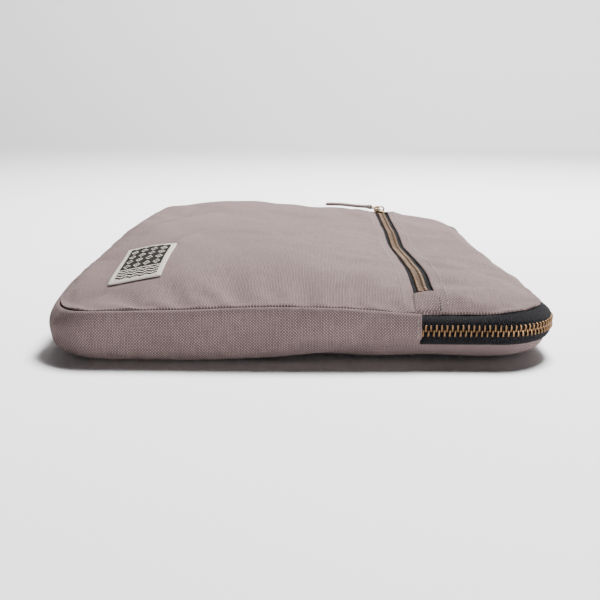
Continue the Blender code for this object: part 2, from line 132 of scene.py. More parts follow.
# ------------------------------------------------------------------ shape of the bag
SEAM_HEIGHT = (
    (-0.125, 0.0240), (-0.105, 0.0256), (-0.060, 0.0268), (-0.015, 0.0284),
    (0.025, 0.0274), (0.056, 0.0252), (0.080, 0.0248), (0.115, 0.0252),
)
CROWN = (
    (-0.121, 0.0425), (-0.095, 0.0440), (-0.070, 0.0440), (-0.035, 0.0424), (0.000, 0.0412),
    (0.020, 0.0402), (0.037, 0.0376), (0.048, 0.0350), (0.0545, 0.0338), (0.064, 0.0336),
    (0.078, 0.0328), (0.095, 0.0305), (0.115, 0.0275),
)
MOUTH_EDGE = (
    (-0.175, 0.0264), (-0.150, 0.0262), (-0.110, 0.0226), (-0.070, 0.0200),
    (-0.020, 0.0184), (0.080, 0.0182), (0.140, 0.0190), (0.175, 0.0216),
)
# height, width and line of each ridge or fold
CREASES = (
    (0.0014, 0.0050, ((-0.096, -0.052), (-0.082, 0.000), (-0.0645, 0.055))),
    (0.0015, 0.0042, ((-0.071, -0.090), (-0.064, -0.060), (-0.047, -0.044), (-0.023, -0.039))),
    (0.0012, 0.0055, ((0.078, -0.140), (0.090, -0.110), (0.104, -0.100))),
    (0.0010, 0.0060, ((0.076, -0.100), (0.086, -0.060), (0.100, -0.040))),
    (-0.0010, 0.0050, ((-0.100, -0.030), (-0.088, 0.035), (-0.080, 0.080))),
    (0.0009, 0.0050, ((0.034, -0.105), (0.028, -0.060), (0.034, -0.010))),
)


def mouth_sag(y):
    """How far the zipped mouth hangs below its ends."""
    y = np.asarray(y, float)
    return MOUTH_DROP * smooth((y + 0.152) / 0.085) * smooth((0.166 - y) / 0.060)


def mouth_reach(x, y):
    """How far the cloth by the mouth lies out over the zipper."""
    along = smooth((y + 0.162) / 0.060) * smooth((0.172 - y) / 0.030)
    return 0.0050 * along * smooth((x - 0.078) / 0.037)


def seam_height(x, y):
    """Height of the seam round the front; along the mouth it sinks away from the near corner."""
    y = np.asarray(y, float)
    level = mix(curve(x, SEAM_HEIGHT), curve(y, MOUTH_EDGE), smooth((x - 0.078) / 0.034))
    lift = smooth((y + 0.170) / 0.060) * smooth((0.150 - y) / 0.070)
    return level + 0.0068 * lift * smooth((-0.098 - x) / 0.021)


def half_chord(r, off):
    """Half the chord of a circle of radius r at that distance from its middle."""
    return np.sqrt(np.clip(r * r - off * off, 0, None))


def half_width(x):
    """How far the front reaches to either side at x."""
    x = np.asarray(x, float)
    wide = HALF_Y - mix(SEAM_IN, TAPE_SEAM_IN, smooth((x - 0.050) / 0.014))
    wide = np.where(x < -ARC_X, ARC_Y + half_chord(SEAM_R, x + ARC_X), wide)
    return np.where(x > MOUTH_TURN, ARC_Y + half_chord(MOUTH_R, x - MOUTH_TURN), wide)


def end_line(y, sign):
    """The front's edge at y: sign +1 is the mouth, -1 the closed bottom."""
    over = np.clip(np.abs(y) - ARC_Y, 0, None)
    if sign < 0:
        return -ARC_X - half_chord(SEAM_R, over)
    return MOUTH_TURN + half_chord(MOUTH_R, over)


def creases(x, y):
    """Soft ridges and folds left in the cloth, each along a few points."""
    total = 0.0
    for height, width, line in CREASES:
        nearest = np.full(np.shape(x), 1e9)
        for (x0, y0), (x1, y1) in zip(line, line[1:]):
            long = (x1 - x0) ** 2 + (y1 - y0) ** 2
            t = np.clip(((x - x0) * (x1 - x0) + (y - y0) * (y1 - y0)) / long, 0, 1)
            nearest = np.minimum(nearest, np.hypot(x - x0 - t * (x1 - x0), y - y0 - t * (y1 - y0)))
        total = total + height * np.exp(-((nearest / width) ** 2))
    return total


def front_height(x, y):
    """Outer surface of the stuffed front. near and far are how wide its slopes to the sides are."""
    wide = half_width(x)
    by_mouth = smooth((x - 0.072) / 0.020)
    near = mix(0.085, 0.016, smooth((x + 0.035) / 0.115))
    near = mix(0.170, near, smooth((x + 0.112) / 0.052))
    near = mix(near, 0.022, by_mouth)
    far = mix(0.046, 0.022, smooth((x - 0.010) / 0.045))
    far = mix(0.090, far, smooth((x + 0.112) / 0.060))
    far = mix(far, 0.022, by_mouth)
    from_near, from_far = y + wide, wide - y
    from_bottom, from_mouth = x - end_line(y, -1), end_line(y, 1) - x
    near_side, far_side = pillow(from_near, near), pillow(from_far, far)
    near_side = near_side ** mix(1.30, 1.0, smooth((x + 0.112) / 0.070))
    bottom_side = np.sqrt(pillow(from_bottom, mix(0.024, 0.015, smooth((y + 0.140) / 0.080))))
    full = near_side * far_side * bottom_side * pillow(from_mouth, 0.018)
    full = full * np.exp(-1.8 * (1 - far_side) * (1 - bottom_side))
    low = seam_height(x, y)
    from_seam = np.minimum(np.minimum(from_near, from_far), from_bottom)
    waves = 0.0010 * ripple(x, y, 3, 0.075) + 0.0004 * ripple(x, y, 8, 0.030)
    sway = 0.0021 * np.cos((y + 0.123) / 0.235 * 2 * math.pi) * np.exp(-(((x - ZIP_X) / 0.030) ** 2))
    sway = sway * smooth((0.150 - np.abs(y)) / 0.022)
    seam_way = np.clip(np.minimum(from_seam, from_mouth), 0, None)
    pucker = 0.00045 * ripple(x, y, 31, 0.014) * np.exp(-seam_way / 0.006)
    crown = curve(x, CROWN) - 0.0026 * smooth((y - 0.050) / 0.100) * smooth((x - 0.066) / 0.012)
    crown = crown - 0.0032 * smooth((y + 0.020) / 0.100) * np.exp(-(((x - 0.002) / 0.036) ** 2))
    crown = crown - 0.0018 * smooth((-0.108 - y) / 0.030) * np.exp(-(((x - 0.022) / 0.026) ** 2))
    inside = np.clip(from_seam / 0.03, 0, 1)
    return low + (crown - low) * full + (waves + sway + creases(x, y)) * inside + pucker


def walk(parts, step):
    """Points with their outward normals along lines and corner arcs."""
    found = []
    for kind, *rest in parts:
        if kind == "line":
            (x0, y0), (x1, y1), normal = rest
            n = max(1, int(round(math.hypot(x1 - x0, y1 - y0) / step)))
            new = [(mix(x0, x1, i / n), mix(y0, y1, i / n), *normal) for i in range(n + 1)]
        else:
            (cx, cy), start, stop = rest
            n = max(6, int(round(CORNER_R * math.radians(abs(stop - start)) / step)))
            turns = [math.radians(mix(start, stop, i / n)) for i in range(n + 1)]
            new = [
                (cx + CORNER_R * math.cos(a), cy + CORNER_R * math.sin(a), math.cos(a), math.sin(a))
                for a in turns
            ]
        found += new[1:] if found else new
    return np.array(found)


def end_route(sign, start_x, step):
    """The outline round one end of the bag: sign +1 is the mouth, -1 the closed bottom."""
    first, middle, last = [a if sign > 0 else 180 - a for a in (-90, 0, 90)]
    return walk(
        [
            ("line", (start_x, -HALF_Y), (sign * ARC_X, -HALF_Y), (0, -1)),
            ("arc", (sign * ARC_X, -ARC_Y), first, middle),
            ("line", (sign * HALF_X, -ARC_Y), (sign * HALF_X, ARC_Y), (sign, 0)),
            ("arc", (sign * ARC_X, ARC_Y), middle, last),
            ("line", (sign * ARC_X, HALF_Y), (start_x, HALF_Y), (0, 1)),
        ],
        step,
    )


def lengths(points):
    """Distance run along an array of points."""
    steps = np.linalg.norm(np.diff(points, axis=0), axis=1)
    return np.concatenate([[0.0], np.cumsum(steps)])


# ------------------------------------------------------------------ meshes
def mesh_piece(name, verts, faces, uv=None, mat=None):
    mesh = bpy.data.meshes.new(name)
    mesh.from_pydata([tuple(map(float, v)) for v in verts], [], [tuple(map(int, f)) for f in faces])
    mesh.update()
    if uv is not None:
        layer = mesh.uv_layers.new(name="weave")
        index = np.empty(len(mesh.loops), np.int32)
        mesh.loops.foreach_get("vertex_index", index)
        layer.data.foreach_set("uv", np.asarray(uv, np.float32)[index].ravel())
    obj = bpy.data.objects.new(name, mesh)
    bpy.context.scene.collection.objects.link(obj)
    if mat is not None:
        mesh.materials.append(mat)
    mesh.polygons.foreach_set("use_smooth", np.ones(len(mesh.polygons), bool))
    return obj


def grid_faces(n, m, flip=False, start=0):
    i, j = np.meshgrid(np.arange(n - 1), np.arange(m - 1), indexing="ij")
    a = (i * m + j).ravel() + start
    quads = np.stack([a, a + 1, a + m + 1, a + m], axis=1)
    return quads[:, ::-1] if flip else quads


def grid_piece(name, points, uv, mat, flip=False):
    n, m = points.shape[:2]
    return mesh_piece(name, points.reshape(-1, 3), grid_faces(n, m, flip), uv.reshape(-1, 2), mat)


def ring_faces(rings, sides, joined=False):
    """Quads between rings. When joined, the last ring meets the first; if not, the ends are capped."""
    faces = []
    for k in range(rings if joined else rings - 1):
        for i in range(sides):
            j, b = (i + 1) % sides, (k + 1) % rings
            faces.append((k * sides + i, k * sides + j, b * sides + j, b * sides + i))
    if not joined:
        faces.append(tuple(reversed(range(sides))))
        faces.append(tuple(range((rings - 1) * sides, rings * sides)))
    return faces


def fold_rows(edge, out, inward, radius, reach, steps=5):
    """Rows that carry a cut edge round a small radius and back behind the cloth."""
    rows = []
    for k in range(1, steps + 1):
        a = math.pi * k / steps
        rows.append(edge + out * radius * math.sin(a) + inward * radius * (1 - math.cos(a)))
    rows.append(rows[-1] - out * reach)
    return np.array(rows)


def modifier(obj, kind, **settings):
    mod = obj.modifiers.new(kind.lower(), kind)
    for key, value in settings.items():
        setattr(mod, key, value)
    return mod


def subdivide(obj):
    return modifier(obj, "SUBSURF", levels=1, render_levels=1)


def thicken(obj, thickness, offset=0.0):
    return modifier(obj, "SOLIDIFY", thickness=thickness, offset=offset)


def soften(obj, width):
    return modifier(obj, "BEVEL", width=width, segments=2, limit_method="ANGLE", angle_limit=0.9)


def edit_mesh(obj, change):
    """Runs change on the piece's mesh as a bmesh."""
    work = bmesh.new()
    work.from_mesh(obj.data)
    change(work)
    work.to_mesh(obj.data)
    work.free()


def weld(work):
    bmesh.ops.remove_doubles(work, verts=work.verts, dist=1e-6)


def install(obj, body, slot, *nodes):
    """Puts a piece on its body (None: across the flap's bend) and hides the nodes it stands for."""
    if body is None:
        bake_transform(obj)
    else:
        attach(obj, body)
    if nodes:
        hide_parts(*nodes)
    return obj


def pin_edges(shape, first, last, low, high):
    """Weights that hold this many rows and columns at the edges of a grid."""
    pinned = np.zeros(shape)
    pinned[:first] = 1
    pinned[-last:] = 1
    pinned[:, :low] = 1
    pinned[:, -high:] = 1
    return pinned


CLOTH = {
    "quality": 6,
    "mass": 0.3,
    "tension_stiffness": 40,
    "compression_stiffness": 40,
    "shear_stiffness": 20,
    "bending_stiffness": 6.0,
    "vertex_group_mass": "pin",
    "pin_stiffness": 4,
    "use_pressure": True,
}
CLOTH_FRAMES = 22


def relax_cloth(points, pinned, pressure, grow, cap):
    """Lets a sheet settle as stiff, slightly overfull cloth, and returns where it came to lie."""
    n, m = points.shape[:2]
    obj = mesh_piece("cloth_sheet", points.reshape(-1, 3), grid_faces(n, m))
    group = obj.vertex_groups.new(name="pin")
    weights = pinned.ravel()
    for index in np.nonzero(weights > 0)[0]:
        group.add([int(index)], float(weights[index]), "REPLACE")
    mod = obj.modifiers.new("cloth", "CLOTH")
    for key, value in CLOTH.items():
        setattr(mod.settings, key, value)
    mod.settings.shrink_min = -grow
    mod.settings.shrink_max = -grow
    mod.settings.uniform_pressure_force = pressure
    mod.settings.effector_weights.gravity = 0
    mod.collision_settings.use_collision = False
    mod.point_cache.frame_start = 1
    mod.point_cache.frame_end = CLOTH_FRAMES
    scene = bpy.context.scene
    for number in range(1, CLOTH_FRAMES + 1):
        scene.frame_set(number)
    shown = obj.evaluated_get(bpy.context.evaluated_depsgraph_get())
    settled = np.empty(n * m * 3, np.float32)
    shown.data.vertices.foreach_get("co", settled)
    bpy.data.objects.remove(obj)
    scene.frame_set(1)
    moved = settled.reshape(n, m, 3).astype(float) - points
    size = np.linalg.norm(moved, axis=2, keepdims=True)
    moved = moved * np.minimum(1.0, cap * np.tanh(size / cap) / np.maximum(size, 1e-9))
    return points + moved * (1 - pinned[..., None])


# ------------------------------------------------------------------ materials
class Value:
    """A number in a node tree, with the usual arithmetic."""

    def __init__(self, graph, socket):
        self.graph, self.socket = graph, socket

    def __add__(self, other):
        return self.graph.math("ADD", self, other)

    def __sub__(self, other):
        return self.graph.math("SUBTRACT", self, other)

    def __rsub__(self, other):
        return self.graph.math("SUBTRACT", other, self)

    def __mul__(self, other):
        return self.graph.math("MULTIPLY", self, other)

    def __truediv__(self, other):
        return self.graph.math("DIVIDE", self, other)

    def __lt__(self, other):
        return self.graph.math("LESS_THAN", self, other)

    def __gt__(self, other):
        return self.graph.math("GREATER_THAN", self, other)

    def __abs__(self):
        return self.graph.math("ABSOLUTE", self)


class Graph:
    """Short names for building a node tree."""

    def __init__(self, name):
        self.mat = bpy.data.materials.new(name)
        self.mat.use_nodes = True
        self.tree = self.mat.node_tree
        self.shader = self.tree.nodes["Principled BSDF"]

    def node(self, kind, **settings):
        made = self.tree.nodes.new(kind)
        for key, value in settings.items():
            setattr(made, key, value)
        return made

    def put(self, socket, value):
        if isinstance(value, Value):
            value = value.socket
        if isinstance(value, bpy.types.NodeSocket):
            self.tree.links.new(value, socket)
        else:
            socket.default_value = value

    def fill(self, made, **inputs):
        """Sets a node's inputs by name, with _ for a space, and returns its first output."""
        for name, value in inputs.items():
            self.put(made.inputs[name.replace("_", " ")], value)
        return made.outputs[0]

    def join(self, kind, *values, **settings):
        """A node whose first inputs take the values in order."""
        made = self.node(kind, **settings)
        for socket, value in zip(made.inputs, values):
            self.put(socket, value)
        return made.outputs[0]

    def math(self, operation, a, b=0.0, c=0.0):
        return Value(self, self.join("ShaderNodeMath", a, b, c, operation=operation))

    def sine(self, value, turns=1.0):
        return self.math("SINE", value * (math.pi * turns))

    def noise(self, vector, scale, detail=3.0, rough=0.55):
        made = self.node("ShaderNodeTexNoise")
        self.fill(made, Vector=vector, Scale=scale, Detail=detail, Roughness=rough)
        return Value(self, made.outputs["Fac"])

    def combine(self, x, y, z=0.0):
        return self.join("ShaderNodeCombineXYZ", x, y, z)

    def weave_uv(self):
        place = self.node("ShaderNodeUVMap", uv_map="weave").outputs[0]
        split = self.node("ShaderNodeSeparateXYZ")
        self.put(split.inputs[0], place)
        return place, Value(self, split.outputs[0]), Value(self, split.outputs[1])

    def object_place(self):
        return self.node("ShaderNodeTexCoord").outputs["Object"]

    def ramp(self, factor, start, end):
        """Colour between two (position, colour) stops."""
        made = self.node("ShaderNodeValToRGB")
        self.put(made.inputs[0], factor)
        for element, (place, colour) in zip(made.color_ramp.elements, (start, end)):
            element.position = place
            element.color = (*colour, 1.0)
        return made.outputs[0]

    def shade(self, colour, factor):
        """Colour times a grey factor."""
        made = self.node("ShaderNodeVectorMath", operation="SCALE")
        self.put(made.inputs[0], colour)
        self.put(made.inputs["Scale"], factor)
        return made.outputs[0]

    def finish(self, colour, rough, relief, **inputs):
        """Fills the shader. relief is a height, its distance in metres and its strength."""
        self.put(self.shader.inputs["Base Color"], colour)
        if relief:
            height, distance, strength = relief
            bump = self.node("ShaderNodeBump")
            inputs["Normal"] = self.fill(bump, Height=height, Distance=distance, Strength=strength)
        self.fill(self.shader, Roughness=rough, **inputs)
        return self.mat


def plain_weave(g, u, v, pitch):
    """Height and which yarn is on top for a plain weave; u and v in metres."""
    u, v = u / pitch, v / pitch
    sign = g.math("PINGPONG", g.math("FLOOR", u) + g.math("FLOOR", v), 1.0) * -2.0 + 1.0
    hump_u, hump_v = g.sine(g.math("FRACT", u)), g.sine(g.math("FRACT", v))
    warp = g.math("POWER", hump_u, 0.6) * (sign * hump_v * 0.5 + 0.5)
    weft = g.math("POWER", hump_v, 0.6) * (sign * hump_u * -0.5 + 0.5)
    return g.math("MAXIMUM", warp, weft), warp > weft


def canvas_material(name, rgb, pitch=0.00073, grain_and_gap_shade=1.12):
    """Plain-woven canvas: raised yarns, painted shade in the gaps between them, uneven yarns and slubs."""
    g = Graph(name)
    place, u, v = g.weave_uv()
    uu = (g.noise(place, 60.0, 2.0) - 0.5) * 0.0009 + u
    vv = (g.noise(g.combine(v, u, 0.37), 60.0, 2.0) - 0.5) * 0.0009 + v
    height, top = plain_weave(g, uu, vv, pitch)
    count = 1.0 / pitch
    warp_yarn = g.noise(g.combine(uu * count, vv * 110.0), 1.0, 2.0)
    weft_yarn = g.noise(g.combine(uu * 110.0, vv * count, 4.0), 1.0, 2.0)
    yarn = top * warp_yarn + (1.0 - top) * weft_yarn
    # painted shade: the lower the weave height, the darker the colour, so the gaps between yarns look shaded
    tone = height * (1.20 * grain_and_gap_shade) + (1.0 - 0.74 * grain_and_gap_shade)
    tone = tone * (top * (0.62 * grain_and_gap_shade) + (1.0 - 0.31 * grain_and_gap_shade))
    tone = tone * (yarn * (0.9 * grain_and_gap_shade) + (1.0 - 0.45 * grain_and_gap_shade))
    tone = tone * (g.noise(place, 22.0, 4.0) * 0.12 + 0.94)
    tone = tone * (g.noise(place, 130.0, 3.0) * 0.10 + 0.95)
    return g.finish(
        g.shade(rgb, tone),
        height * -0.06 + 1.0,
        (g.noise(place, 5200.0, 2.0) * 0.35 + height, 0.00022, 0.8),
        Sheen_Weight=0.10,
        Sheen_Roughness=0.5,
        Sheen_Tint=(0.80, 0.66, 0.62, 1.0),
        Specular_IOR_Level=0.06,
    )


def tape_material(name, rgb):
    """Knitted zipper tape: fine herringbone ribs."""
    g = Graph(name)
    place, u, v = g.weave_uv()
    lean = g.math("PINGPONG", v / 0.0016, 1.0)
    rib = g.sine(u / 0.00105 + lean * 0.9, 2)
    fibre = g.noise(place, 1300.0, 3.0, 0.7)
    tone = (rib * 0.42 + 0.9) * g.math("POWER", fibre * 3.4 - 0.7, 2.4)
    return g.finish(
        g.shade(rgb, tone),
        fibre * 0.2 + 0.72,
        (g.sine(v / 0.00052, 2) * 0.35 + rib, 0.00022, 0.9),
        Sheen_Weight=0.02,
        Sheen_Roughness=0.4,
        Specular_IOR_Level=0.06,
    )


def brass_material(name, bright, dark, rough=0.36, scale=1.0):
    """Antique brass: darkened in patches, rubbed brighter here and there."""
    g = Graph(name)
    place = g.object_place()
    patch = g.noise(place, 420.0 * scale, 4.0)
    speck = g.noise(place, 3200.0 * scale, 2.0)
    mixed = speck * 0.35 + patch * 0.8
    colour = g.ramp(mixed, (0.30, dark), (0.72, bright))
    return g.finish(colour, mixed * 0.25 + (rough - 0.08), (speck, 0.00004, 0.5), Metallic=1.0)


def lining_material(name, rgb):
    g = Graph(name)
    place, u, v = g.weave_uv()
    height, _ = plain_weave(g, u, v, 0.00030)
    broad = g.noise(place, 30.0, 3.0)
    # painted shade: the weave height darkens the colour in the gaps between yarns
    tone = (height * 0.3 + 0.75) * (broad * 0.3 + 0.85)
    return g.finish(g.shade(rgb, tone), broad * 0.15 + 0.50, (height, 0.00008, 0.6), Sheen_Weight=0.15)


def foam_material(name, rgb):
    g = Graph(name)
    cells = g.node("ShaderNodeTexVoronoi")
    g.fill(cells, Vector=g.object_place(), Scale=1500.0)
    far = Value(g, cells.outputs["Distance"])
    return g.finish(g.shade(rgb, far * 0.6 + 0.7), far * 0.1 + 0.85, (far, 0.0002, 0.6))


def thread_material(name, rgb):
    g = Graph(name)
    twist = g.node("ShaderNodeTexWave", wave_type="BANDS", bands_direction="DIAGONAL")
    g.fill(twist, Vector=g.object_place(), Scale=900.0, Distortion=1.0)
    lines = Value(g, twist.outputs["Fac"])
    colour = g.shade(rgb, lines * 0.3 + 0.8)
    return g.finish(colour, lines * 0.1 + 0.7, (lines, 0.00006, 0.6), Sheen_Weight=0.2)


def label_material():
    """Black woven field inside a pale border, with rows of diamonds and zigzag lines."""
    g = Graph("label_weave")
    place, u, v = g.weave_uv()
    half_wide, half_long = (LABEL_X[1] - LABEL_X[0]) / 2, (LABEL_Y[1] - LABEL_Y[0]) / 2
    from_side, from_end = half_wide - abs(u - half_wide), half_long - abs(v - half_long)
    ragged = g.noise(place, 1900.0, 2.0) * 0.0006 - 0.0003
    field = g.math("MINIMUM", from_side, from_end) + ragged > 0.0025
    across, along = g.math("FRACT", (u - 0.0030) / 0.0052), g.math("FRACT", (v - 0.0160) / 0.0072)
    diamond = abs(across - 0.5) + abs(along - 0.5) + ragged * 120.0
    ring = (diamond < 0.38) * (diamond > 0.26)
    diamonds = (ring + (diamond < 0.08)) * (v > 0.0160)
    lean = g.math("PINGPONG", (u - 0.0030) / 0.0026, 1.0)
    wave = g.math("FRACT", (lean * 0.0017 + v + ragged) / 0.0031)
    zigzag = (wave < 0.34) * (v < 0.0135)
    bar = (v > 0.0142) * (v < 0.0151)
    marks = g.math("MINIMUM", diamonds + zigzag + bar, 1.0)
    height, _ = plain_weave(g, u, v, 0.00045)
    fibre = g.noise(place, 2400.0, 3.0)
    pale = (1.0 - field * (1.0 - marks)) * (fibre * 0.36 + 0.72)
    pale = height * g.noise(place, 260.0, 3.0) * 0.03 + pale * 0.95
    return g.finish(
        g.ramp(pale, (0.0, (0.006, 0.005, 0.005)), (0.95, (0.52, 0.48, 0.43))),
        fibre * 0.15 + 0.80,
        (pale * 0.8 + height, 0.00018, 0.9),
        Sheen_Weight=0.02,
        Specular_IOR_Level=0.06,
    )


CANVAS_RGB = (0.137, 0.100, 0.097)
canvas = canvas_material("canvas_weave", CANVAS_RGB)
strap_canvas = canvas_material("strap_weave", CANVAS_RGB, 0.00045, 0.8)
tape_cloth = tape_material("zipper_tape_weave", (0.0100, 0.0098, 0.0115))
brass = brass_material("tooth_brass", (0.23, 0.135, 0.068), (0.042, 0.027, 0.016))
dark_brass = brass_material("pocket_tooth_brass", (0.115, 0.072, 0.046), (0.034, 0.023, 0.016), 0.44)
slider_brass = brass_material("slider_brass", (0.36, 0.25, 0.14), (0.09, 0.062, 0.04), scale=0.5)
lining_cloth = lining_material("lining_weave", (0.060, 0.058, 0.062))
foam = foam_material("foam_cells", (0.20, 0.20, 0.205))
thread = thread_material("seam_thread", (0.230, 0.175, 0.166))
dark_thread = thread_material("tab_thread", (0.022, 0.017, 0.017))
label_thread = thread_material("label_thread", (0.50, 0.47, 0.43))
label_cloth = label_material()


# ------------------------------------------------------------------ front canvas panels
def panel_grid(columns, rows):
    """Grid over the front: columns are x positions, rows run from -1 to 1 across the width."""
    x = np.repeat(np.asarray(columns)[:, None], len(rows), axis=1)
    y = half_width(x) * np.asarray(rows)[None, :]
    return np.stack([x, y, front_height(x, y)], axis=2)


def even_rows(count, edge):
    """Positions from -1 to 1, closer together near both ends."""
    t = np.linspace(-1, 1, count)
    return mix(t, np.sin(t * math.pi / 2), edge)


def surface_uv(points):
    """Distances over the cloth from its middle, so that the weave keeps its size on slopes."""
    found = []
    for axis in (0, 1):
        run = np.linalg.norm(np.diff(points, axis=axis), axis=2)
        run = np.insert(np.cumsum(run, axis=axis), 0, 0.0, axis=axis)
        found.append(run - np.take(run, [points.shape[axis] // 2], axis=axis))
    return np.stack(found, axis=2)


def outline_inward(x, y):
    """Unit vector in plan pointing into the bag from its outline."""
    away = np.stack([x - np.clip(x, -ARC_X, ARC_X), y - np.clip(y, -ARC_Y, ARC_Y)], axis=-1)
    size = np.linalg.norm(away, axis=-1, keepdims=True)
    return -np.where(size > 1e-6, away / np.maximum(size, 1e-9), away)


def seam_skirt(obj, frozen, drops):
    """Carries a sheet's open edge down into the seam. The vertices in frozen stay as they are."""

    def carry(work):
        layer = work.loops.layers.uv["weave"]
        edges = [e for e in work.edges if e.is_boundary and not all(v.index in frozen for v in e.verts)]
        for inward_step, down_step in drops:
            made = bmesh.ops.extrude_edge_only(work, edges=edges)["geom"]
            verts = [g for g in made if isinstance(g, bmesh.types.BMVert)]
            places = np.array([v.co[:2] for v in verts])
            for vert, step in zip(verts, outline_inward(places[:, 0], places[:, 1])):
                vert.co += Vector((step[0] * inward_step, step[1] * inward_step, -down_step))
            owned = set(verts)
            made_edges = [g for g in made if isinstance(g, bmesh.types.BMEdge)]
            edges = [e for e in made_edges if all(v in owned for v in e.verts)]
            for face in (g for g in made if isinstance(g, bmesh.types.BMFace)):
                face.smooth = True
                for loop in face.loops:
                    loop[layer].uv = loop.vert.co.xy

    edit_mesh(obj, carry)


SEAM_DROPS = ((-0.0002, 0.0005), (0.0003, 0.0007), (0.0012, 0.0006))
PANEL_ROWS = even_rows(150, 0.35)

low_start, low_end = -HALF_X + SEAM_IN, ZIP_X - ZIP_HALF - FOLD_R
steps = np.linspace(0, 1, 78)
columns = low_start + (low_end - low_start) * mix(steps, steps**1.35, 0.8)
points = panel_grid(columns, PANEL_ROWS)
pinned = pin_edges(points.shape[:2], 1, 2, 1, 1)
pinned[1] = 0.7
points = relax_cloth(points, pinned, 0.35, 0.010, 0.0022)
full = np.concatenate([points, fold_rows(points[-1], RIGHT, -UP, FOLD_R, 0.008)])
front_low = grid_piece("front_lower_canvas", full, surface_uv(full), canvas)
seam_skirt(front_low, set(range(points.size // 3, full.size // 3)), SEAM_DROPS)
subdivide(front_low)
install(front_low, ROOT, "canvas", "front_lower_panel")

high_start = ZIP_X + ZIP_HALF + FOLD_R
steps = np.linspace(0, 1, 30)
columns = MOUTH_X - (MOUTH_X - high_start) * mix(steps, steps**1.3, 0.7)[::-1]
points = panel_grid(columns, PANEL_ROWS)
points[..., 0] += mouth_reach(points[..., 0], points[..., 1])
points = relax_cloth(points, pin_edges(points.shape[:2], 2, 1, 1, 1), 0.35, 0.008, 0.0016)
under = fold_rows(points[0], -RIGHT, -UP, FOLD_R, 0.005)[::-1]
full = np.concatenate([under, points])
front_high = grid_piece("front_upper_canvas", full, surface_uv(full), canvas)
seam_skirt(front_high, set(range(under.size // 3)), SEAM_DROPS)
subdivide(front_high)
install(front_high, None, "canvas", "front_upper_panel", "pocket_zip_hem")


# ------------------------------------------------------------------ gusset and back canvas
def tuck(x):
    """How far the back has drawn up from the deep closed end towards the mouth, 0 to 1."""
    return smooth((x + 0.060) / 0.116)


def back_rim(x):
    """Inset and height of the seam between gusset and back."""
    return mix(0.013, 0.004, tuck(x)), mix(0.0020, 0.0094, tuck(x))


def band_grid(route, profile, fine_profile):
    """Points of a strip along a route; profile gives pairs (inset, height), smoothed to a fine curve."""
    grid = []
    for x, y, nx, ny in route:
        control = np.array(profile(x, y, nx), float)
        run = lengths(control)
        at = np.linspace(0, run[-1], fine_profile)
        d = curve(at, list(zip(run, control[:, 0])))
        z = curve(at, list(zip(run, control[:, 1])))
        grid.append(np.stack([x - nx * d, y - ny * d, z], axis=1))
    return np.array(grid)


def band_uv(grid, route):
    along = lengths(route[:, :2])
    across = np.array([lengths(row) for row in grid])
    middle = across[:, across.shape[1] // 2][:, None]
    return np.stack([np.repeat(along[:, None], grid.shape[1], axis=1), middle - across], axis=2)


def gusset_profile(x, y, nx):
    t = tuck(x)
    top = seam_height(x, y)
    inset, rim = back_rim(x)
    pull = 0.0006 * float(ripple(np.float64(x), np.float64(y), 21, 0.055))
    out = -0.0020 * float(smooth(-nx))
    return [
        (0.0056, top - 0.0022),
        (0.0042, top - 0.0012),
        (0.0037, top - 0.0003),
        (0.0027, top - 0.0007),
        (0.0008 + pull * 0.4 + out * 0.7, top - 0.0048),
        (out + pull, 0.0175),
        (0.0002 + pull + out, mix(0.0100, 0.0140, t)),
        (mix(0.0011, 0.0018, t) + out * 0.6, mix(0.0048, 0.0118, t)),
        (mix(0.0036, 0.0028, t) + out * 0.3, mix(0.0016, 0.0104, t)),
        (mix(0.0070, inset - 0.0010, t), mix(0.0003, rim + 0.0001, t)),
        (inset - 0.0001, mix(0.0006, rim + 0.0008, t)),
        (inset + 0.0012, mix(0.0016, rim + 0.0016, t)),
    ]


def end_fold(grid, uv):
    """Turns the strip's first cut end under, round a small radius."""
    edge = grid[0]
    out = edge - grid[1]
    out /= np.linalg.norm(out, axis=1, keepdims=True)
    across = np.gradient(edge, axis=0)
    across /= np.linalg.norm(across, axis=1, keepdims=True)
    inward = np.cross(out, across)
    if np.dot(inward.mean(axis=0), np.sign(edge.mean(axis=0)[1]) * FAR) > 0:
        inward = -inward
    rows = fold_rows(edge, out, inward, 0.0008, 0.006)
    extra = np.repeat(uv[:1], len(rows), axis=0)
    extra[..., 0] += np.sign(uv[0, 0, 0] - uv[1, 0, 0]) * np.linspace(0.0005, 0.0085, len(rows))[:, None]
    return np.concatenate([rows[::-1], grid]), np.concatenate([extra[::-1], uv])


route = end_route(-1, END_X, 0.0026)
grid = band_grid(route, gusset_profile, 22)
uv = band_uv(grid, route)
grid = relax_cloth(grid[:, ::-1], pin_edges(grid.shape[:2], 3, 3, 5, 5), 0.25, 0.006, 0.0010)[:, ::-1]
for _ in ENDS:
    grid, uv = end_fold(grid, uv)
    grid, uv = grid[::-1], uv[::-1]
gusset = grid_piece("gusset_canvas", grid, uv, canvas, flip=True)
subdivide(gusset)
install(gusset, ROOT, "canvas", "gusset_near_half", "gusset_far_half")


def back_half_width(x):
    inset, _ = back_rim(x)
    bent = ARC_Y + half_chord(CORNER_R - inset, np.abs(x) - ARC_X)
    return np.where(np.abs(x) > ARC_X, bent, HALF_Y - inset)


def back_height(x, y):
    inset, rim = back_rim(x)
    r = CORNER_R - inset
    over_x, over_y = np.abs(x) - ARC_X, np.abs(y) - ARC_Y
    corner = r - np.hypot(over_x, over_y)
    flat = np.minimum(back_half_width(x) - np.abs(y), HALF_X - inset - np.abs(x))
    inside = np.where((over_x > 0) & (over_y > 0), corner, flat)
    steep = 1 - np.sqrt(pillow(inside, 0.008))
    gentle = (1 - np.clip(inside / 0.040, 0, 1)) ** 2
    folds = 0.0006 * ripple(x, y, 17, 0.045) * np.exp(-(((inside - 0.006) / 0.006) ** 2))
    return rim * (0.62 * steep + 0.38 * gentle) + folds * smooth((rim - 0.002) / 0.005)


